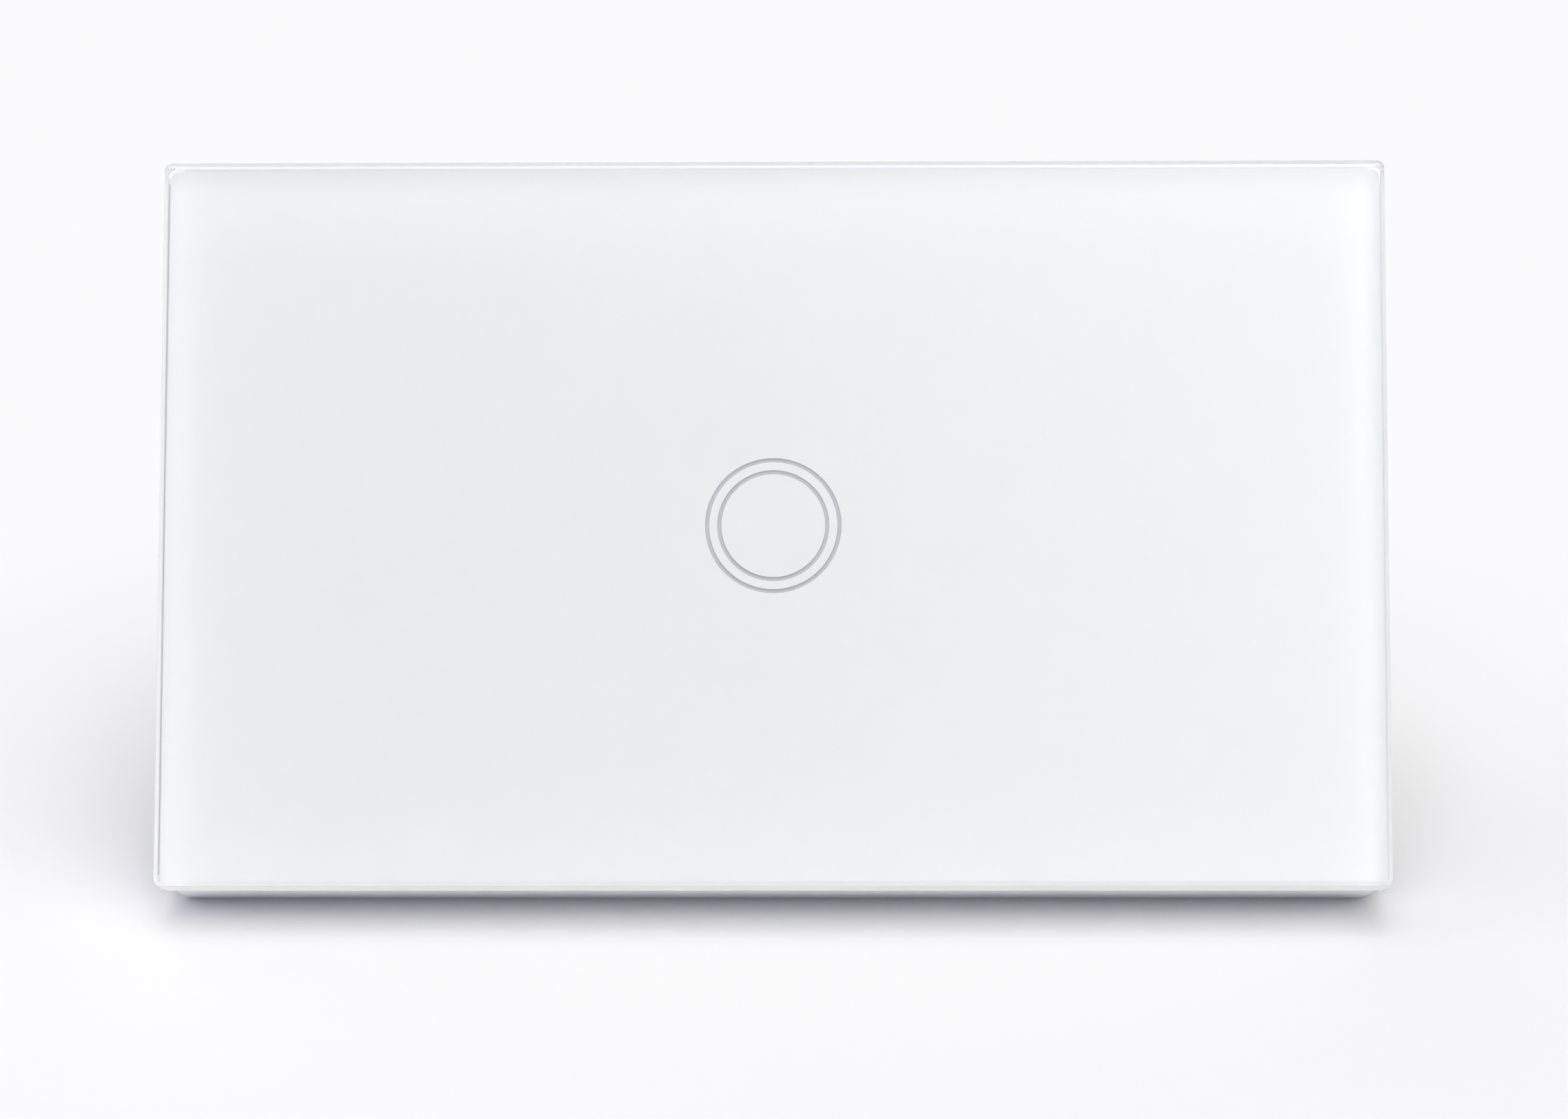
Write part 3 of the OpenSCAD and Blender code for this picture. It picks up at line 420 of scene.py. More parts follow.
@dataclass(frozen=True)
class Finish:
    """A surface finish; each kind lays out its own nodes."""

    def paint(self, s: Surface) -> Value:
        """Lay out the nodes and hand back the shader."""
        raise NotImplementedError

    def material(self, name: str) -> bpy.types.Material:
        """Make the material.

        Args:
            name: Name of the material.

        Returns:
            The finished material.
        """
        surface = Surface(name)
        surface.add("ShaderNodeOutputMaterial", inputs={"Surface": self.paint(surface)})
        return surface.material


@dataclass(frozen=True)
class Moulding(Finish):
    """Moulded plastic with a fine grain, faint flow marks and softened edges."""

    colour: Colour
    roughness: float
    grain: float = 0.15 * MM
    relief: float = 0.004 * MM
    mottle: float = 0.04
    edge: float = 0.12 * MM
    flow: float = 12.0 * MM
    polish: float = 0.06

    def paint(self, s: Surface) -> Value:
        """Grain in the normal and roughness, flow marks in the colour.

        Args:
            s: The material's node tree.

        Returns:
            The shader.
        """
        spark = s.noise(self.grain)
        flow = s.noise(self.flow, detail=3.0)
        colour = s.mottled(flow, self.colour, self.mottle)
        rough = (spark + flow).between(self.roughness - self.polish, self.roughness)
        return s.principled(colour, rough, {"Normal": s.bump(spark, self.relief, self.edge)})


@dataclass(frozen=True)
class Plating(Finish):
    """Plated metal with fine drawing lines along one axis and cloudy colour."""

    colour: Colour
    roughness: float
    axis: Axis = Axis.X
    line: float = 0.06 * MM
    run: float = 4.0 * MM
    relief: float = 0.002 * MM
    edge: float = 0.08 * MM
    cloud: float = 5.0 * MM
    tarnish: float = 0.16
    burnish: Span = (-0.08, 0.04)

    def paint(self, s: Surface) -> Value:
        """Lines in the normal and roughness, clouds in the colour.

        Args:
            s: The material's node tree.

        Returns:
            The shader.
        """
        stretch = tuple(self.line / self.run if axis is self.axis else 1.0 for axis in Axis)
        lines = s.noise(self.line, 3.0, stretch)
        cloud = s.noise(self.cloud, detail=4.0)
        colour = s.mottled(cloud, self.colour, self.tarnish)
        rough = (lines + cloud).between(*(self.roughness + step for step in self.burnish))
        normal = s.bump(lines, self.relief, self.edge)
        return s.principled(colour, rough, {"Metallic": 1.0, "Normal": normal})


@dataclass(frozen=True)
class Enamel(Finish):
    """Ink fired on the back of the glass, in optical contact with it."""

    colour: Colour
    mottle: float = 0.008
    mesh: float = 0.5 * MM
    cloud: float = 18.0 * MM
    matt: Span = (0.6, 0.7)

    def paint(self, s: Surface) -> Value:
        """Very faint screen mottle.

        Args:
            s: The material's node tree.

        Returns:
            The shader.
        """
        screen = s.noise(self.mesh) * 0.5 + s.noise(self.cloud, detail=3.0) * 0.5
        colour = s.mottled(screen, self.colour, self.mottle)
        return s.principled(colour, screen.between(*self.matt), {"Specular IOR Level": 0.0})


@dataclass(frozen=True)
class RingInk(Finish):
    """Grey ring lines a little behind the white print, with painted shade on their upper side where the
    print's edge would hide the light.
    """

    colour: Colour
    shade: Colour
    inner: float = 5.3 * MM
    outer: float = 6.5 * MM
    line: float = 0.4 * MM
    drop: float = 0.16 * MM
    fade: Span = (0.25, 0.6)
    grain: float = 0.08 * MM
    mottle: float = 0.05
    matt: Span = (0.5, 0.7)

    def paint(self, s: Surface) -> Value:
        """Painted shade: darker where the print above the line would hide the light.

        Args:
            s: The material's node tree.

        Returns:
            The shader.
        """
        across = s.along(Axis.X)
        up = s.along(Axis.Z) + self.drop
        reach = across.math("SQRT", across * across + up * up)
        ring = (reach > (self.inner + self.outer) / 2.0).between(self.inner, self.outer)
        # Painted shade: outside the ring shifted down by the drop, the line takes the shade colour.
        past = abs(reach - ring).ramp(*(share * self.line for share in self.fade))
        grain = s.noise(self.grain)
        colour = s.blend(past, s.mottled(grain, self.colour, self.mottle), self.shade)
        return s.principled(colour, grain.between(*self.matt), {"Specular IOR Level": 0.0})


@dataclass(frozen=True)
class FloatGlass(Finish):
    """Clear float glass with a faint cool tint, polished faces and bevels, and finely ground sides."""

    tint: Colour
    frost: Colour = (0.985, 0.985, 0.985)
    frosting: Span = (0.9, 1.0)
    ground: float = 0.35
    bevel: float = 0.06
    haze: float = 0.012
    ior: float = 1.45
    grit: float = 0.05 * MM
    smear: float = 14.0 * MM
    smeared: Span = (0.4, 0.8)
    side_slope: Span = (0.2, 0.45)
    edge_slope: Span = (0.8, 0.95)

    def paint(self, s: Surface) -> Value:
        """The slightest haze of handling on the faces, grinding that scatters light on the sides.

        Args:
            s: The material's node tree.

        Returns:
            The shader.
        """
        slope = s.facing(Axis.Y)
        side = 1.0 - slope.ramp(*self.side_slope)
        edge = 1.0 - slope.ramp(*self.edge_slope)
        touch = s.noise(self.smear, detail=4.0).ramp(*self.smeared)
        rough = touch * self.haze + edge * self.bevel + side * (self.ground - self.bevel)
        clear = s.principled((*self.tint, 1.0), rough, {"Transmission Weight": 1.0, "IOR": self.ior})
        grit = s.noise(self.grit).between(*self.frosting)
        matt = s.add("ShaderNodeBsdfTranslucent", inputs={"Color": (*self.frost, 1.0)})
        return s.add("ShaderNodeMixShader", inputs={0: side * grit, 1: clear, 2: matt})


@dataclass(frozen=True)
class FoamTape(Finish):
    """Soft foam tape with open cells along its cut edge."""

    colour: Colour
    cell: float = 0.12 * MM
    depth: float = 0.03 * MM
    shadow: float = 0.3
    matt: Span = (0.85, 0.95)

    def paint(self, s: Surface) -> Value:
        """Cells in the normal and the roughness, with painted shade darkening their hollows.

        Args:
            s: The material's node tree.

        Returns:
            The shader.
        """
        inputs = {"Vector": s.place(), "Scale": 1.0 / self.cell}
        cells = s.add("ShaderNodeTexVoronoi", inputs=inputs)
        # Painted shade: the colour darkens towards the middle of each cell, in its hollow.
        colour = s.mottled(cells, self.colour, self.shadow)
        return s.principled(colour, cells.between(*self.matt), {"Normal": s.bump(cells, self.depth)})


@dataclass(frozen=True)
class SolderMask(Finish):
    """Board with copper areas under green mask, bare laminate on its cut edges."""

    mask: Colour
    copper: Colour
    laminate: Colour
    tin: Colour = (0.62, 0.6, 0.55)
    area: float = 5.0 * MM
    track: float = 0.9 * MM
    gap: float = 0.36 * MM
    gap_wall: Span = (0.35, 0.6)
    gap_shade: float = 0.4
    via: float = 0.3 * MM
    via_rim: float = 1.4
    via_roughness: float = 0.1
    weave: float = 0.4 * MM
    weave_shade: float = 0.12
    relief: float = 0.02 * MM
    roughness: Span = (0.75, 0.34)

    def paint(self, s: Surface) -> Value:
        """Squared tracks between copper areas, a small via in each area, and the laminate edge.

        Args:
            s: The material's node tree.

        Returns:
            The shader.
        """
        turn = (math.pi / 2.0, 0.0, 0.0)
        plan = s.add("ShaderNodeMapping", inputs={"Vector": s.place(), "Rotation": turn})
        cells = {"Vector": plan, "Scale": 1.0 / self.area}
        flat = {"voronoi_dimensions": "2D"}
        square = {**flat, "distance": "MANHATTAN"}
        first = s.add("ShaderNodeTexVoronoi", square, cells)
        second = s.add("ShaderNodeTexVoronoi", {**square, "feature": "F2"}, cells)
        off = abs((second - first) * (self.area / 2.0) - (self.track + self.gap) / 2.0)
        copper = off.ramp(*(share * self.gap for share in self.gap_wall))
        reach = self.via / self.area
        via = 1.0 - s.add("ShaderNodeTexVoronoi", flat, cells).ramp(reach, self.via_rim * reach)
        woven = s.mottled(s.noise(self.weave), self.copper, self.weave_shade)
        film = s.blend(copper, shaded(self.mask, self.gap_shade), woven)
        face = s.facing(Axis.Y) > 0.5
        colour = s.blend(face, self.laminate, s.blend(via, film, self.tin))
        rough = face.between(*self.roughness) + via * self.via_roughness
        return s.principled(colour, rough, {"Normal": s.bump(copper, self.relief)})


@dataclass(frozen=True)
class LeadedPackage(Finish):
    """Black moulded body with tinned leads, told apart by distance from the body's middle."""

    body: Colour
    lead: Colour
    axis: Axis
    middle: float
    half: float
    grain: float = 0.1 * MM
    relief: float = 0.006 * MM
    mottle: float = 0.2
    matt: Span = (0.45, 0.6)
    shine: float = 0.2

    def paint(self, s: Surface) -> Value:
        """Metal past the body's half width, grained epoxy inside it.

        Args:
            s: The material's node tree.

        Returns:
            The shader.
        """
        metal = abs(s.along(self.axis) - self.middle) > self.half
        grain = s.noise(self.grain)
        colour = s.blend(metal, s.mottled(grain, self.body, self.mottle), self.lead)
        rough = grain.between(*self.matt) - metal * self.shine
        normal = s.bump(grain, self.relief)
        return s.principled(colour, rough, {"Metallic": metal, "Normal": normal})


@dataclass(frozen=True)
class WoundWire(Finish):
    """Close turns of enamelled wire round an axis along Y."""

    colour: Colour
    wire: float = 0.16 * MM
    metal: float = 0.7
    shadow: float = 0.5
    ridges: Span = (0.5, 1.0)
    relief: float = 0.3
    gloss: Span = (0.25, 0.4)

    def paint(self, s: Surface) -> Value:
        """Each turn a round ridge, with painted shade in the grooves between turns, and the odd darker
        turn.

        Args:
            s: The material's node tree.

        Returns:
            The shader.
        """
        turn = s.along(Axis.Y) * (math.tau / self.wire)
        ridge = turn.math("SINE", turn).between(*self.ridges)
        odd = s.noise(2.0 * self.wire, 1.0, (0.1, 1.0, 0.1))
        # Painted shade in the grooves where the ridge is low; the noise also darkens the odd turn at
        # random.
        colour = s.mottled(odd * ridge, self.colour, self.shadow)
        normal = s.bump(ridge, self.relief * self.wire)
        return s.principled(colour, odd.between(*self.gloss), {"Metallic": self.metal, "Normal": normal})


@dataclass(frozen=True)
class Frosted(Finish):
    """Milky plastic that lets light through."""

    colour: Colour
    clear: float = 0.4
    grain: float = 0.07 * MM
    relief: float = 0.004 * MM
    mottle: float = 0.04
    matt: Span = (0.4, 0.6)

    def paint(self, s: Surface) -> Value:
        """Fine frost in the roughness and the normal.

        Args:
            s: The material's node tree.

        Returns:
            The shader.
        """
        frost = s.noise(self.grain, detail=3.0)
        colour = s.mottled(frost, self.colour, self.mottle)
        others = {"Transmission Weight": self.clear, "Normal": s.bump(frost, self.relief)}
        return s.principled(colour, frost.between(*self.matt), others)


@dataclass(frozen=True)
class ShrunkSleeve(Finish):
    """Dark sleeve on a can, with a pale stripe down one side and the bare can showing at the end."""

    sleeve: Colour
    stripe: Colour
    can: Colour
    end: float
    side: float
    crease: float = 1.5 * MM
    mottle: float = 0.2
    gloss: Span = (0.2, 0.34)

    def paint(self, s: Surface) -> Value:
        """Stripe past one side, bare metal past the end, and painted shade of small folds in the sleeve.

        Args:
            s: The material's node tree.

        Returns:
            The shader.
        """
        bare = s.along(Axis.Y) > self.end
        stripe = s.along(Axis.Z) < self.side
        # Painted shade: noise for the sleeve's small folds darkens its colour, and the same noise sets
        # its gloss.
        fold_shade_and_gloss = s.noise(self.crease)
        sleeve = s.mottled(fold_shade_and_gloss, self.sleeve, self.mottle)
        colour = s.blend(bare, s.blend(stripe, sleeve, self.stripe), self.can)
        return s.principled(colour, fold_shade_and_gloss.between(*self.gloss), {"Metallic": bare})


@dataclass(frozen=True)
class Tabletop(Finish):
    """Pale matt table that fades into a plain backdrop, open from below for views from under it."""

    colour: Colour
    backdrop: Colour
    near: float = 70.0 * MM
    far: float = 170.0 * MM
    cloud: float = 60.0 * MM
    mottle: float = 0.006
    roughness: float = 0.9
    gloss: float = 0.1

    def paint(self, s: Surface) -> Value:
        """Matt near the switch, faintly clouded, and evenly bright to the eye further off.

        Args:
            s: The material's node tree.

        Returns:
            The shader.
        """
        cloud = s.noise(self.cloud, detail=3.0)
        colour = s.mottled(cloud, self.colour, self.mottle)
        matt = s.principled(colour, self.roughness, {"Specular IOR Level": self.gloss})
        ray = s.add("ShaderNodeLightPath", output="Is Camera Ray")
        shown = ray.math("MAXIMUM", ray.output("Is Glossy Ray"), ray.output("Is Transmission Ray"))
        seen = ray.math("MAXIMUM", ray, shown)
        distance = s.add("ShaderNodeVectorMath", {"operation": "LENGTH"}, {0: s.place()}, "Value")
        plain = s.add("ShaderNodeEmission", inputs={"Color": (*self.backdrop, 1.0)})
        faded = {0: seen * distance.ramp(self.near, self.far), 1: matt, 2: plain}
        top = s.add("ShaderNodeMixShader", inputs=faded)
        below = s.add("ShaderNodeNewGeometry", output="Backfacing")
        open_side = s.add("ShaderNodeBsdfTransparent")
        return s.add("ShaderNodeMixShader", inputs={0: below, 1: top, 2: open_side})


TINNED: Colour = (0.72, 0.72, 0.7)
BLACK_EPOXY: Colour = (0.03, 0.03, 0.033)

FINISHES: dict[Slot, Finish] = {
    Slot.CLEAR_GLASS: FloatGlass((0.985, 0.995, 0.997)),
    Slot.WHITE_INK: Enamel((0.98, 0.982, 0.947)),
    Slot.GREY_INK: RingInk((0.62, 0.615, 0.62), (0.42, 0.425, 0.44)),
    Slot.FOAM_TAPE: FoamTape((0.78, 0.78, 0.79)),
    Slot.WHITE_FRAME: Moulding((0.93, 0.932, 0.95), 0.32, edge=0.3 * MM),
    Slot.WHITE_COVER: Moulding((0.84, 0.84, 0.83), 0.5, grain=0.25 * MM, relief=0.01 * MM),
    Slot.ZINC_STEEL: Plating((0.72, 0.74, 0.77), 0.34),
    Slot.SCREW_STEEL: Plating((0.7, 0.69, 0.68), 0.26, Axis.Y),
    Slot.BOARD_GREEN: SolderMask((0.02, 0.13, 0.05), (0.045, 0.22, 0.09), (0.5, 0.44, 0.25)),
    Slot.BLACK_MOULDING: Moulding(BLACK_EPOXY, 0.5, mottle=0.2),
    Slot.SPRING_GOLD: Plating((0.86, 0.68, 0.34), 0.22, Axis.Y),
    Slot.FROSTED_GUIDE: Frosted((0.92, 0.93, 0.94)),
    Slot.LED_LENS: Frosted((0.93, 0.85, 0.5), 0.25),
    Slot.PIN_BRASS: Plating((0.83, 0.66, 0.36), 0.26, Axis.Y),
    Slot.SOFT_IRON: Plating((0.6, 0.6, 0.61), 0.36),
    Slot.IVORY_BOBBIN: Moulding((0.83, 0.79, 0.66), 0.45),
    Slot.COPPER_WIRE: WoundWire((0.75, 0.38, 0.2)),
    Slot.BLUE_CASE: Moulding((0.04, 0.14, 0.45), 0.28),
    Slot.TERMINAL_GREEN: Moulding((0.16, 0.33, 0.22), 0.45),
    Slot.YELLOW_BOX: Moulding((0.82, 0.56, 0.08), 0.25),
    Slot.FERRITE: Moulding((0.09, 0.09, 0.095), 0.62, grain=0.3 * MM, relief=0.02 * MM, mottle=0.3),
    Slot.YELLOW_TAPE: Moulding((0.85, 0.7, 0.2), 0.3, grain=0.6 * MM),
    Slot.BROWN_MOULDING: Moulding((0.22, 0.12, 0.07), 0.4),
    Slot.HOUSING_GREY: Moulding(
        (0.115, 0.117, 0.125), 0.46, grain=0.3 * MM, relief=0.014 * MM, mottle=0.12, edge=0.25 * MM
    ),
}


@dataclass
class Wardrobe:
    """Finishes by slot, and what ties a new piece to the frame."""

    frame: Mapping[str, Any]

    def __post_init__(self) -> None:
        """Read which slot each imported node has."""
        self.materials: dict[Slot, bpy.types.Material] = {}
        rows = self.frame["record"]["subparts"]
        self.slots = {row["node"]: Slot(row["material_slot"]) for row in rows}

    def material(self, slot: Slot) -> bpy.types.Material:
        """The material of a slot, made when it is first asked for.

        Args:
            slot: The slot.

        Returns:
            Its material.
        """
        if slot not in self.materials:
            self.materials[slot] = FINISHES[slot].material(slot.value)
        return self.materials[slot]

    def dress(self, *nodes: str, finish: Finish | None = None) -> None:
        """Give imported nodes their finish.

        Args:
            nodes: Names of the nodes.
            finish: A finish of their own, in place of their slot's.
        """
        for node in nodes:
            material = finish.material(node) if finish else self.material(self.slots[node])
            for slot in self.frame["nodes"][node].material_slots:
                slot.material = material
            LOG.info("dressed %s", node)

    def keep(
        self, piece: bpy.types.Object, body: str, slot: Slot, replaced: Sequence[str] = ()
    ) -> None:
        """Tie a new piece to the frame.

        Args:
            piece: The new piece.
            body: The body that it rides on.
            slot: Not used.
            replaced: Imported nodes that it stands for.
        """
        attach(piece, body)
        if replaced:
            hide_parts(*replaced)
        LOG.info("piece %s on %s, %d faces", piece.name, body, len(piece.data.polygons))


def link_mesh(
    name: str, shape: bmesh.types.BMesh, materials: Iterable[bpy.types.Material] = ()
) -> bpy.types.Object:
    """Turn a bmesh into an object of the scene.

    Args:
        name: Name of the object.
        shape: The mesh, which is freed.
        materials: Its material slots.

    Returns:
        The new object, at the origin.
    """
    mesh = bpy.data.meshes.new(name)
    shape.to_mesh(mesh)
    shape.free()
    for material in materials:
        mesh.materials.append(material)
    piece = bpy.data.objects.new(name, mesh)
    bpy.context.scene.collection.objects.link(piece)
    return piece


def rounded_loop(half: Vector, corner: float, steps: int) -> list[Span]:
    """Points of a rectangle with round corners.

    Args:
        half: Half its width and half its height.
        corner: Radius of the corners.
        steps: Straight steps in each corner.

    Returns:
        Points in order, starting at the upper right corner.
    """
    points = []
    for quarter, (sx, sz) in enumerate(((1, 1), (-1, 1), (-1, -1), (1, -1))):
        for step in range(steps + 1):
            turn = (quarter + step / steps) * math.pi / 2.0
            x = sx * (half.x - corner) + corner * math.cos(turn)
            z = sz * (half.y - corner) + corner * math.sin(turn)
            points.append((x, z))
    return points


def block_part(name: str, size: Sequence[float], edge: float) -> bpy.types.Object:
    """A small block with softened edges, centred in plan and standing on its base.

    Args:
        name: Name of the object.
        size: Its width, height above the base, and depth.
        edge: Width of the softened edges.

    Returns:
        The block, growing towards -Y.
    """
    shape = bmesh.new()
    bmesh.ops.create_cube(shape, size=1.0)
    bmesh.ops.scale(shape, vec=size, verts=shape.verts)
    soften = {"offset": edge, "segments": 2, "profile": 0.5, "affect": "EDGES"}
    bmesh.ops.bevel(shape, geom=shape.edges[:], **soften)
    bmesh.ops.translate(shape, vec=(0.0, -size[1] / 2.0, 0.0), verts=shape.verts)
    return link_mesh(name, shape)


def turned_part(name: str, profile: Sequence[Span], sides: int) -> bpy.types.Object:
    """A part turned about the Y axis.

    Args:
        name: Name of the object.
        profile: Points of radius and height towards -Y; a radius of zero closes the end.
        sides: Flats round the axis.

    Returns:
        The turned part.
    """
    shape = bmesh.new()
    rings = []
    for radius, height in profile:
        turns = [math.tau * i / sides for i in range(sides)] if radius else [0.0]
        points = [(radius * math.cos(turn), -height, radius * math.sin(turn)) for turn in turns]
        rings.append([shape.verts.new(point) for point in points])
    for low, high in zip(rings, rings[1:]):
        for i in range(sides):
            j = (i + 1) % sides
            corners = [low[i % len(low)], low[j % len(low)], high[j % len(high)], high[i % len(high)]]
            face = shape.faces.new(list(dict.fromkeys(corners)))
            face.smooth = True
    bmesh.ops.recalc_face_normals(shape, faces=shape.faces[:])
    return link_mesh(name, shape)


@dataclass
class GlassPanel:
    """The glass, its back print and ring marks, the bond tape and the moulded frame."""

    wardrobe: Wardrobe
    parts: PlacedParts
    corner: float = 0.7 * MM
    corner_steps: int = 8
    front_edge: float = 0.4 * MM
    rear_edge: float = 0.2 * MM
    arris: float = 0.06 * MM
    contact: float = 0.03 * MM
    web: float = 1.6 * MM
    mark_radius: float = 1.5 * MM
    mark_lip: float = 0.12 * MM
    mark_rise: float = 0.08 * MM
    mark_crown: Span = (0.75, 0.25)
    mark_sides: int = 24
    mark_spots: tuple[Span, ...] = ((0.78, 0.73), (0.93, 0.3))

    def edge_profile(self, front: float, rear: float) -> list[tuple[float, float, bool]]:
        """Inset and depth of each loop of the slab from its front face to its rear face.

        Args:
            front: Depth of the front face.
            rear: Depth of the rear face.

        Returns:
            Inset, depth, and whether the band to the next loop is a rounded arris.
        """
        slope = self.arris / math.sqrt(2.0)
        return [
            (self.front_edge + self.arris, front, True),
            (self.front_edge - slope, front + slope, False),
            (slope, front + self.front_edge - slope, True),
            (0.0, front + self.front_edge + self.arris, False),
            (0.0, rear - self.rear_edge, False),
            (self.rear_edge, rear, False),
        ]

    def build_glass(self) -> bpy.types.Object:
        """Model the slab of glass, which meets the ink without a film of air.

        Returns:
            The slab.
        """
        low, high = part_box("glass_panel")
        half = Vector(((high.x - low.x) / 2.0, (high.z - low.z) / 2.0))
        shape = bmesh.new()
        loops = []
        profile = self.edge_profile(low.y, high.y + self.contact)
        for inset, depth, _ in profile:
            corner = max(self.corner - inset, self.arris)
            points = rounded_loop(half - Vector((inset, inset)), corner, self.corner_steps)
            loops.append([shape.verts.new((x, depth, z)) for x, z in points])
        count = len(loops[0])
        for (_, _, is_round), near, far in zip(profile, loops, loops[1:]):
            for i in range(count):
                j = (i + 1) % count
                face = shape.faces.new((near[i], near[j], far[j], far[i]))
                face.smooth = is_round or (i + 1) % (self.corner_steps + 1) != 0
        shape.faces.new(loops[0])
        shape.faces.new(loops[-1])
        bmesh.ops.recalc_face_normals(shape, faces=shape.faces[:])
        return link_mesh("glass_slab", shape, [self.wardrobe.material(Slot.CLEAR_GLASS)])

    def build_marks(self) -> bpy.types.Object:
        """Model the round ejector marks that moulding leaves on the rear of the frame's web.

        Returns:
            The marks, as one piece.
        """
        radius, lip = self.mark_radius, self.mark_lip
        crown = [(radius - share * lip, self.mark_rise) for share in self.mark_crown]
        ring = [(radius - lip, 0.0), *crown, (radius, 0.0)]
        part = turned_part("ejector_mark", ring, self.mark_sides)
        low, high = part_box("panel_frame")
        depth = low.y + self.web
        spots = [(x * high.x, z * high.z) for x, z in self.mark_spots]
        corners = [(x, z) for x in (-1, 1) for z in (-1, 1)]
        places = [Vector((sx * x, depth, sz * z)) for x, z in spots for sx, sz in corners]
        finish = self.wardrobe.material(Slot.WHITE_FRAME)
        sizes = {"Part": part, "Turn": (math.pi, 0.0, 0.0), "Finish": finish}
        piece = self.parts.grow("frame_ejector_marks", sizes, places)
        bpy.data.objects.remove(part)
        return piece

    def build(self) -> None:
        """Build and dress the panel."""
        self.wardrobe.keep(self.build_glass(), "panel", Slot.CLEAR_GLASS, ["glass_panel"])
        self.wardrobe.keep(self.build_marks(), "panel", Slot.WHITE_FRAME)
        self.wardrobe.dress("white_print", "ring_marks", "bond_tape", "panel_frame")


@dataclass
class TouchSensor:
    """The touch board with its spring, light guide, chip and the small parts soldered on it."""

    wardrobe: Wardrobe
    parts: PlacedParts
    spring_steps: int = 192
    spring_turns: float = 2.0
    wire: float = 0.5 * MM
    wire_sides: int = 12
    lead: float = 0.1
    package_half: float = 2.0 * MM
    chip: tuple[float, float, float] = (1.6 * MM, 0.5 * MM, 0.8 * MM)
    column_share: float = 1.5
    row_share: float = 1.6
    cap_length: float = 0.32 * MM
    cap_swell: float = 0.03 * MM
    chip_edge: float = 0.05 * MM
    solder_radius: float = 0.75 * MM
    solder_rise: float = 0.42 * MM
    solder_waist: Span = (0.75, 0.3)
    solder_neck: Span = (1.3, 0.75)
    solder_sides: int = 16
    link_pitch: float = 2.0 * MM

    def build_spring(self) -> bpy.types.Object:
        """Wind the touch spring in the place of its plain solid.

        Returns:
            The spring.
        """
        low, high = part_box("touch_spring")
        radius = (high.x - low.x - self.wire) / 2.0
        sizes = {"Radius": radius, "Wire": self.wire, "Turns": self.spring_turns, "Lead": self.lead}
        depth = {"Foot": high.y, "Height": high.y - low.y}
        finish = {"Finish": self.wardrobe.material(Slot.SPRING_GOLD)}
        tree = SweptSpring(self.spring_steps, self.wire_sides)
        return tree.grow("spring_wire", {**sizes, **depth, **finish})

    def chip_places(self) -> list[Vector]:
        """Places of the chip resistors and capacitors, in columns on both sides of the touch chip.

        Returns:
            The middle of each chip part's base.
        """
        low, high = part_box("touch_chip")
        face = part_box("touch_board")[0].y
        step, stride = self.row_share * self.chip[2], self.column_share * self.chip[0]
        rows = [(low.z + high.z) / 2.0 + step * k for k in (-1, 0, 1)]
        columns = [sx * (high.x + stride * n) for sx in (-1, 1) for n in (1, 2)]
        return [Vector((x, face, z)) for x in columns for z in rows]

    def build_chips(self) -> None:
        """Model the chip parts: their bodies, and the tinned caps on both ends."""
        width, height, depth = self.chip
        swell = self.cap_swell
        inner = width - self.cap_length
        body_size = (inner, height - swell, depth - 2.0 * swell)
        body = block_part("chip_body", body_size, self.chip_edge)
        cap = block_part("chip_cap", (self.cap_length, height, depth), self.chip_edge)
        places = self.chip_places()
        ends = [p + Vector((s * inner / 2.0, 0.0, 0.0)) for p in places for s in (-1, 1)]
        rows = (
            ("chip_resistors", body, places[::2], Slot.BLACK_MOULDING),
            ("chip_capacitors", body, places[1::2], Slot.IVORY_BOBBIN),
            ("chip_caps", cap, ends, Slot.SCREW_STEEL),
        )
        for name, part, spots, slot in rows:
            sizes = {"Part": part, "Turn": UNTURNED, "Finish": self.wardrobe.material(slot)}
            self.wardrobe.keep(self.parts.grow(name, sizes, spots), "base", slot)
        for part in (body, cap):
            bpy.data.objects.remove(part)

    def build_solder(self) -> bpy.types.Object:
        """Model the solder cones round the link pins and the spring's foot.

        Returns:
            The cones, as one piece.
        """
        low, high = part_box("link_pins")
        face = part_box("touch_board")[0].y
        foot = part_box("touch_spring")[1].x - self.wire / 2.0
        pin = 0.5 * (high.z - low.z)
        radius, rise = self.solder_radius, self.solder_rise
        waist = (self.solder_waist[0] * radius, self.solder_waist[1] * rise)
        neck = (self.solder_neck[0] * pin, self.solder_neck[1] * rise)
        cone = [(radius, 0.0), waist, neck, (0.0, rise)]
        part = turned_part("solder_cone", cone, self.solder_sides)
        first, last = low.x + pin, high.x - pin
        count = round((last - first) / self.link_pitch) + 1
        middle = (low.z + high.z) / 2.0
        places = [Vector((first + self.link_pitch * i, face, middle)) for i in range(count)]
        places.append(Vector((foot, face, 0.0)))
        finish = self.wardrobe.material(Slot.SCREW_STEEL)
        sizes = {"Part": part, "Turn": UNTURNED, "Finish": finish}
        piece = self.parts.grow("solder_joints", sizes, places)
        bpy.data.objects.remove(part)
        return piece

    def build(self) -> None:
        """Build and dress the sensor."""
        low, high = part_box("touch_chip")
        middle = (low.z + high.z) / 2.0
        package = LeadedPackage(BLACK_EPOXY, TINNED, Axis.Z, middle, self.package_half)
        self.wardrobe.keep(self.build_spring(), "base", Slot.SPRING_GOLD, ["touch_spring"])
        self.build_chips()
        self.wardrobe.keep(self.build_solder(), "base", Slot.SCREW_STEEL)
        self.wardrobe.dress("touch_chip", finish=package)
        self.wardrobe.dress("touch_board", "board_screws", "light_guide", "indicator_leds")
        self.wardrobe.dress("link_strip", "link_pins", "link_socket")


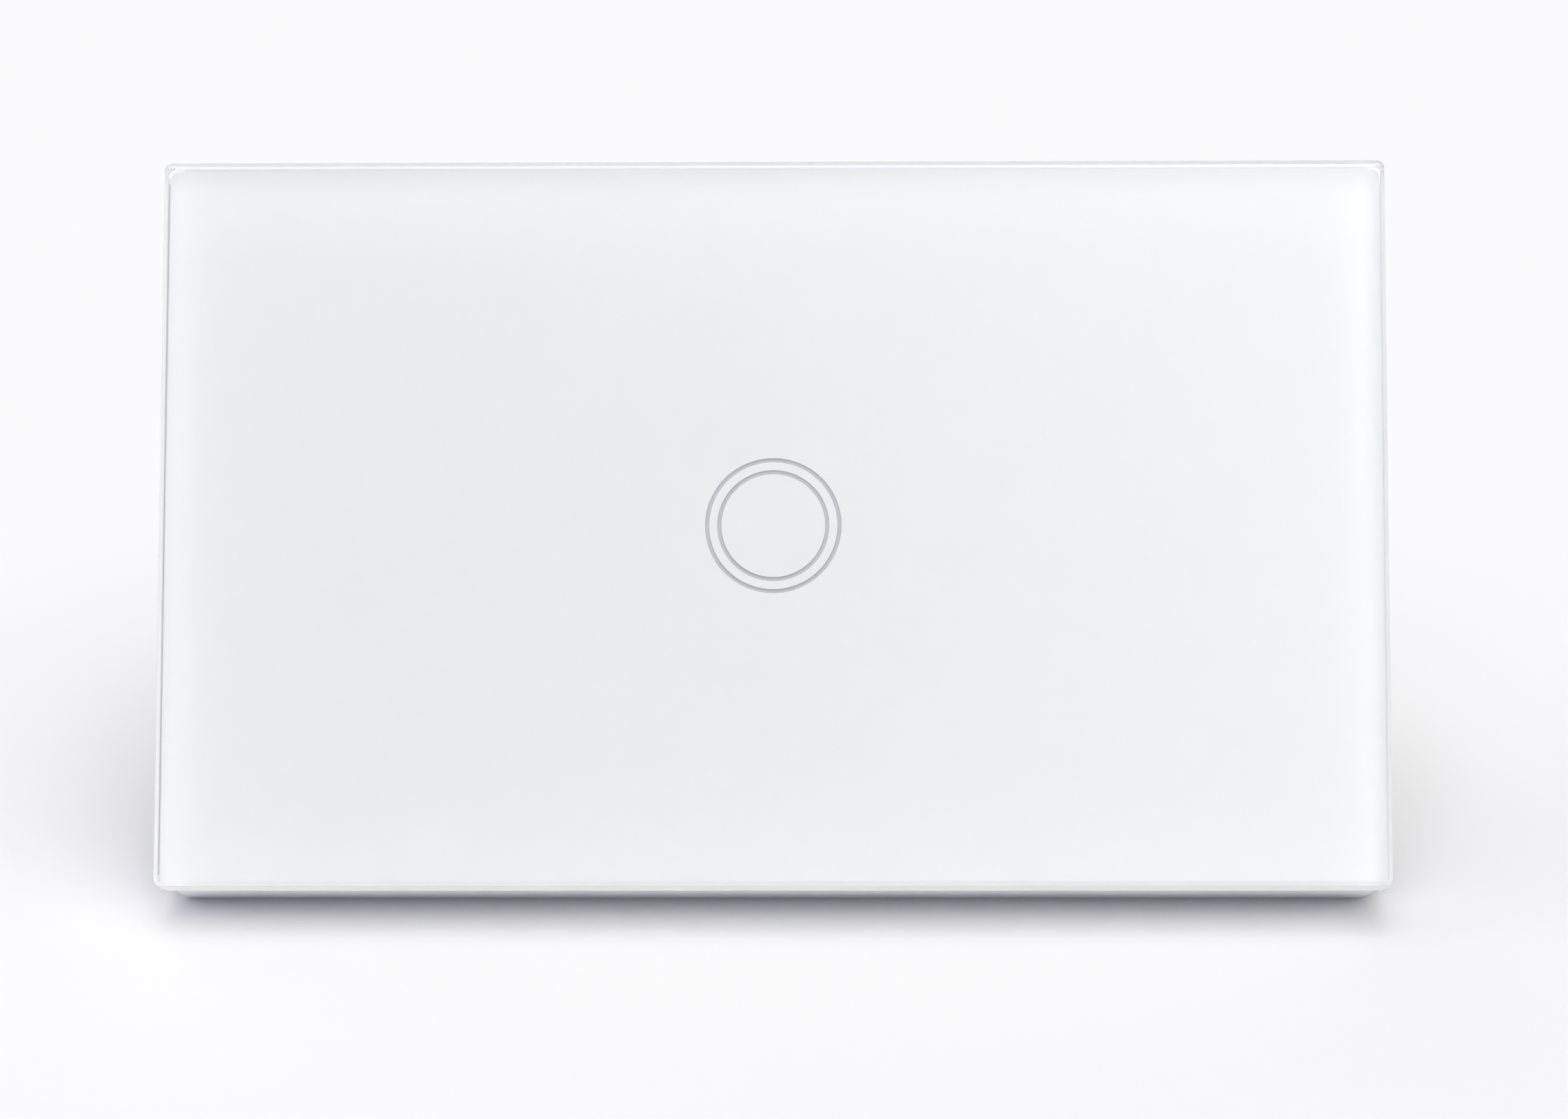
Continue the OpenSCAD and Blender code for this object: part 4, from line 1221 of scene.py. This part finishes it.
@dataclass
class WallBase:
    """The steel strap, the front cover and the rear housing, with their screws."""

    wardrobe: Wardrobe

    def build(self) -> None:
        """Dress the base."""
        self.wardrobe.dress("mounting_strap", "strap_screws", "front_cover", "cover_screws")
        self.wardrobe.dress("rear_housing")


@dataclass
class PowerPack:
    """The power board, its relay and the other electronics in the housing."""

    wardrobe: Wardrobe
    lead: float = 0.8 * MM
    slack: float = 0.02 * MM
    sleeve: Colour = (0.02, 0.035, 0.11)
    stripe: Colour = (0.6, 0.62, 0.66)
    stripe_share: float = 0.12
    can: Colour = (0.75, 0.75, 0.76)
    blue_epoxy: Colour = (0.07, 0.2, 0.48)

    def leaded(self, node: str, body: Colour) -> Finish:
        """Finish of a part whose leads come out towards the board.

        Args:
            node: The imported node.
            body: Colour of its body.

        Returns:
            The finish.
        """
        low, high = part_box(node)
        middle = (low.y + self.lead + high.y) / 2.0
        half = (high.y - low.y - self.lead) / 2.0 + self.slack
        return LeadedPackage(body, TINNED, Axis.Y, middle, half)

    def build(self) -> None:
        """Dress the power pack."""
        low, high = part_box("can_capacitors")
        side = low.z + self.stripe_share * (high.z - low.z)
        cans = ShrunkSleeve(self.sleeve, self.stripe, self.can, high.y - self.slack, side)
        bridge = self.leaded("bridge_rectifier", BLACK_EPOXY)
        self.wardrobe.dress("can_capacitors", finish=cans)
        self.wardrobe.dress("bridge_rectifier", finish=bridge)
        self.wardrobe.dress("varistor", finish=self.leaded("varistor", self.blue_epoxy))
        self.wardrobe.dress("power_board", "film_capacitor")
        self.wardrobe.dress("transformer_core", "transformer_winding", "fuse")
        self.wardrobe.dress("relay_base", "relay_yoke", "relay_core", "relay_bobbin", "relay_winding")
        self.wardrobe.dress("relay_fixed_contact", "relay_moving_contact")
        self.wardrobe.dress("relay_armature", "relay_case")


@dataclass
class Terminals:
    """The terminal block with its contact bars, rising clamps and screws."""

    wardrobe: Wardrobe

    def build(self) -> None:
        """Dress the terminals."""
        self.wardrobe.dress("terminal_block", "contact_bars")
        for side in ("left", "middle", "right"):
            self.wardrobe.dress(f"clamp_cage_{side}", f"terminal_screw_{side}")


@dataclass(frozen=True)
class Pane:
    """A soft-edged bright pane of the far surround.

    Its direction is by the table, to the right, away from the camera and up. Its spread is the tangent
    of the angle from its middle to its top and to its side.
    """

    towards: tuple[float, float, float]
    spread: Span
    radiance: Colour
    soft: float = 0.25


@dataclass(frozen=True)
class Viewpoint:
    """Where the camera stands, from a fit to the panel's outline in the photograph.

    Places are in the panel's own directions: to the right, down, and into the panel.
    """

    image: tuple[int, int] = (2275, 1624)
    focal: float = 9070.6
    sensor: float = 36.0
    tilt: float = -8.238
    yaw: float = 1.143
    roll: float = -0.073
    centre: tuple[float, float, float] = (-1.117 * MM, -3.821 * MM, 609.59 * MM)

    def build(self, middle: Vector) -> None:
        """Set up the camera.

        Args:
            middle: Middle of the glass front.
        """
        turns = ((self.roll, "Z"), (self.yaw, "Y"), (self.tilt, "X"))
        view = Matrix.Identity(3)
        for angle, axis in turns:
            view = view @ Matrix.Rotation(math.radians(angle), 3, axis)
        # From the part's axes to the panel's right, down and inward.
        view = view @ Matrix(((1, 0, 0), (0, 0, -1), (0, 1, 0)))
        right, down, ahead = view
        data = bpy.data.cameras.new("camera")
        data.sensor_width = self.sensor
        data.lens = self.focal / self.image[0] * self.sensor
        camera = bpy.data.objects.new("camera", data)
        bpy.context.scene.collection.objects.link(camera)
        place = middle - view.transposed() @ Vector(self.centre)
        aim = Matrix((right, -down, -ahead)).transposed().to_4x4()
        camera.matrix_world = Matrix.Translation(place) @ aim
        bpy.context.scene.camera = camera
        LOG.info("camera %.0f mm lens at %s", data.lens, [round(c, 4) for c in place])


@dataclass
class Studio:
    """The table that the switch leans on, the surrounding light and the camera."""

    frame_edge: float = 0.4 * MM
    housing_edge: float = 1.0 * MM
    table_half: float = 1.5
    table_colour: Colour = (0.86, 0.861, 0.85)
    base_light: Colour = (0.285, 0.281, 0.335)
    backdrop: Colour = (0.965, 0.965, 0.978)
    panes: tuple[Pane, ...] = (
        Pane((0.08, -0.17, 0.985), (1.0, 0.445), (1.1, 1.09, 0.88)),
        Pane((0.0, -0.84, 0.54), (1.43, 0.26), (1.68, 1.67, 2.11)),
        Pane((0.24, -0.8, 0.59), (0.22, 0.22), (3.1, 3.15, 2.75), 0.9),
        Pane((-1.0, -0.1, 0.45), (0.6, 0.35), (0.8, 0.8, 0.87), 0.4),
        Pane((1.0, -0.05, 0.2), (0.4, 0.3), (0.7, 0.7, 0.75), 0.4),
        Pane((-0.45, 0.8, 0.4), (0.45, 0.4), (0.85, 0.85, 0.9), 0.4),
    )

    def __post_init__(self) -> None:
        """Find the table from the two lower edges that the switch rests on."""
        frame_low, frame_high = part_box("panel_frame")
        housing_low, housing_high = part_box("rear_housing")
        self.rest = Vector((0.0, frame_high.y - self.frame_edge, frame_low.z))
        rear = Vector((0.0, housing_high.y - self.housing_edge, housing_low.z))
        self.right = Vector((1.0, 0.0, 0.0))
        self.away = (rear - self.rest).normalized()
        self.up = self.right.cross(self.away)

    def on_table(self, right: float, away: float, up: float) -> Vector:
        """A point by its distances along the table and above it."""
        return self.rest + right * self.right + away * self.away + up * self.up

    def build_table(self) -> None:
        """Lay the table under the switch."""
        shape = bmesh.new()
        half = self.table_half
        corners = ((-half, -half), (half, -half), (half, half), (-half, half))
        shape.faces.new([shape.verts.new(self.on_table(x, y, 0.0)) for x, y in corners])
        finish = Tabletop(self.table_colour, self.backdrop).material("tabletop")
        table = link_mesh("table", shape, [finish])

    def pane_light(self, sky: Graph, pane: Pane) -> Value:
        """Where one pane shows in the surround.

        Args:
            sky: The node tree of the surround.
            pane: The pane.

        Returns:
            One inside the pane, falling to zero past its edges.
        """
        ahead = (self.on_table(*pane.towards) - self.rest).normalized()
        rise = (self.up - ahead * self.up.dot(ahead)).normalized()
        towards = sky.add("ShaderNodeTexCoord", output="Generated")
        parts = []
        for axis in (ahead, rise, ahead.cross(rise)):
            dot = {0: towards, 1: tuple(axis)}
            parts.append(sky.add("ShaderNodeVectorMath", {"operation": "DOT_PRODUCT"}, dot, "Value"))
        light = parts[0] > 0.0
        for part, spread in zip(parts[1:], pane.spread):
            outer, inner = spread * (1.0 + pane.soft), spread * (1.0 - pane.soft)
            light = light * abs(part / parts[0]).ramp(outer, inner)
        return light

    def build_surround(self) -> None:
        """Fill the room with soft light and bright panes, before a plain backdrop."""
        world = bpy.data.worlds.new("surround")
        world.use_nodes = True
        bpy.context.scene.world = world
        sky = Graph(world.node_tree)
        light = sky.add("ShaderNodeBackground", inputs={"Color": (*self.base_light, 1.0)})
        for pane in self.panes:
            glow = {"Color": (*pane.radiance, 1.0), "Strength": self.pane_light(sky, pane)}
            bright = sky.add("ShaderNodeBackground", inputs=glow)
            light = sky.add("ShaderNodeAddShader", inputs={0: light, 1: bright})
        seen = sky.add("ShaderNodeLightPath", output="Is Camera Ray")
        plain = sky.add("ShaderNodeBackground", inputs={"Color": (*self.backdrop, 1.0)})
        shown = sky.add("ShaderNodeMixShader", inputs={0: seen, 1: light, 2: plain})
        sky.add("ShaderNodeOutputWorld", inputs={"Surface": shown})

    def build(self) -> None:
        """Set up table, surround and camera."""
        low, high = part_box("glass_panel")
        Viewpoint().build(Vector(((low.x + high.x) / 2.0, low.y, (low.z + high.z) / 2.0)))
        self.build_table()
        self.build_surround()
        bpy.context.scene.view_settings.view_transform = "Standard"


def main() -> None:
    """Build the switch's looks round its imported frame."""
    logging.basicConfig(level=logging.INFO, format="%(name)s: %(message)s")
    wardrobe = Wardrobe(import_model())
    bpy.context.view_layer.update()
    parts = PlacedParts()
    Studio().build()
    for assembly in (GlassPanel(wardrobe, parts), TouchSensor(wardrobe, parts)):
        assembly.build()
    for assembly in (WallBase(wardrobe), PowerPack(wardrobe), Terminals(wardrobe)):
        assembly.build()


if __name__ == "__main__":
    main()
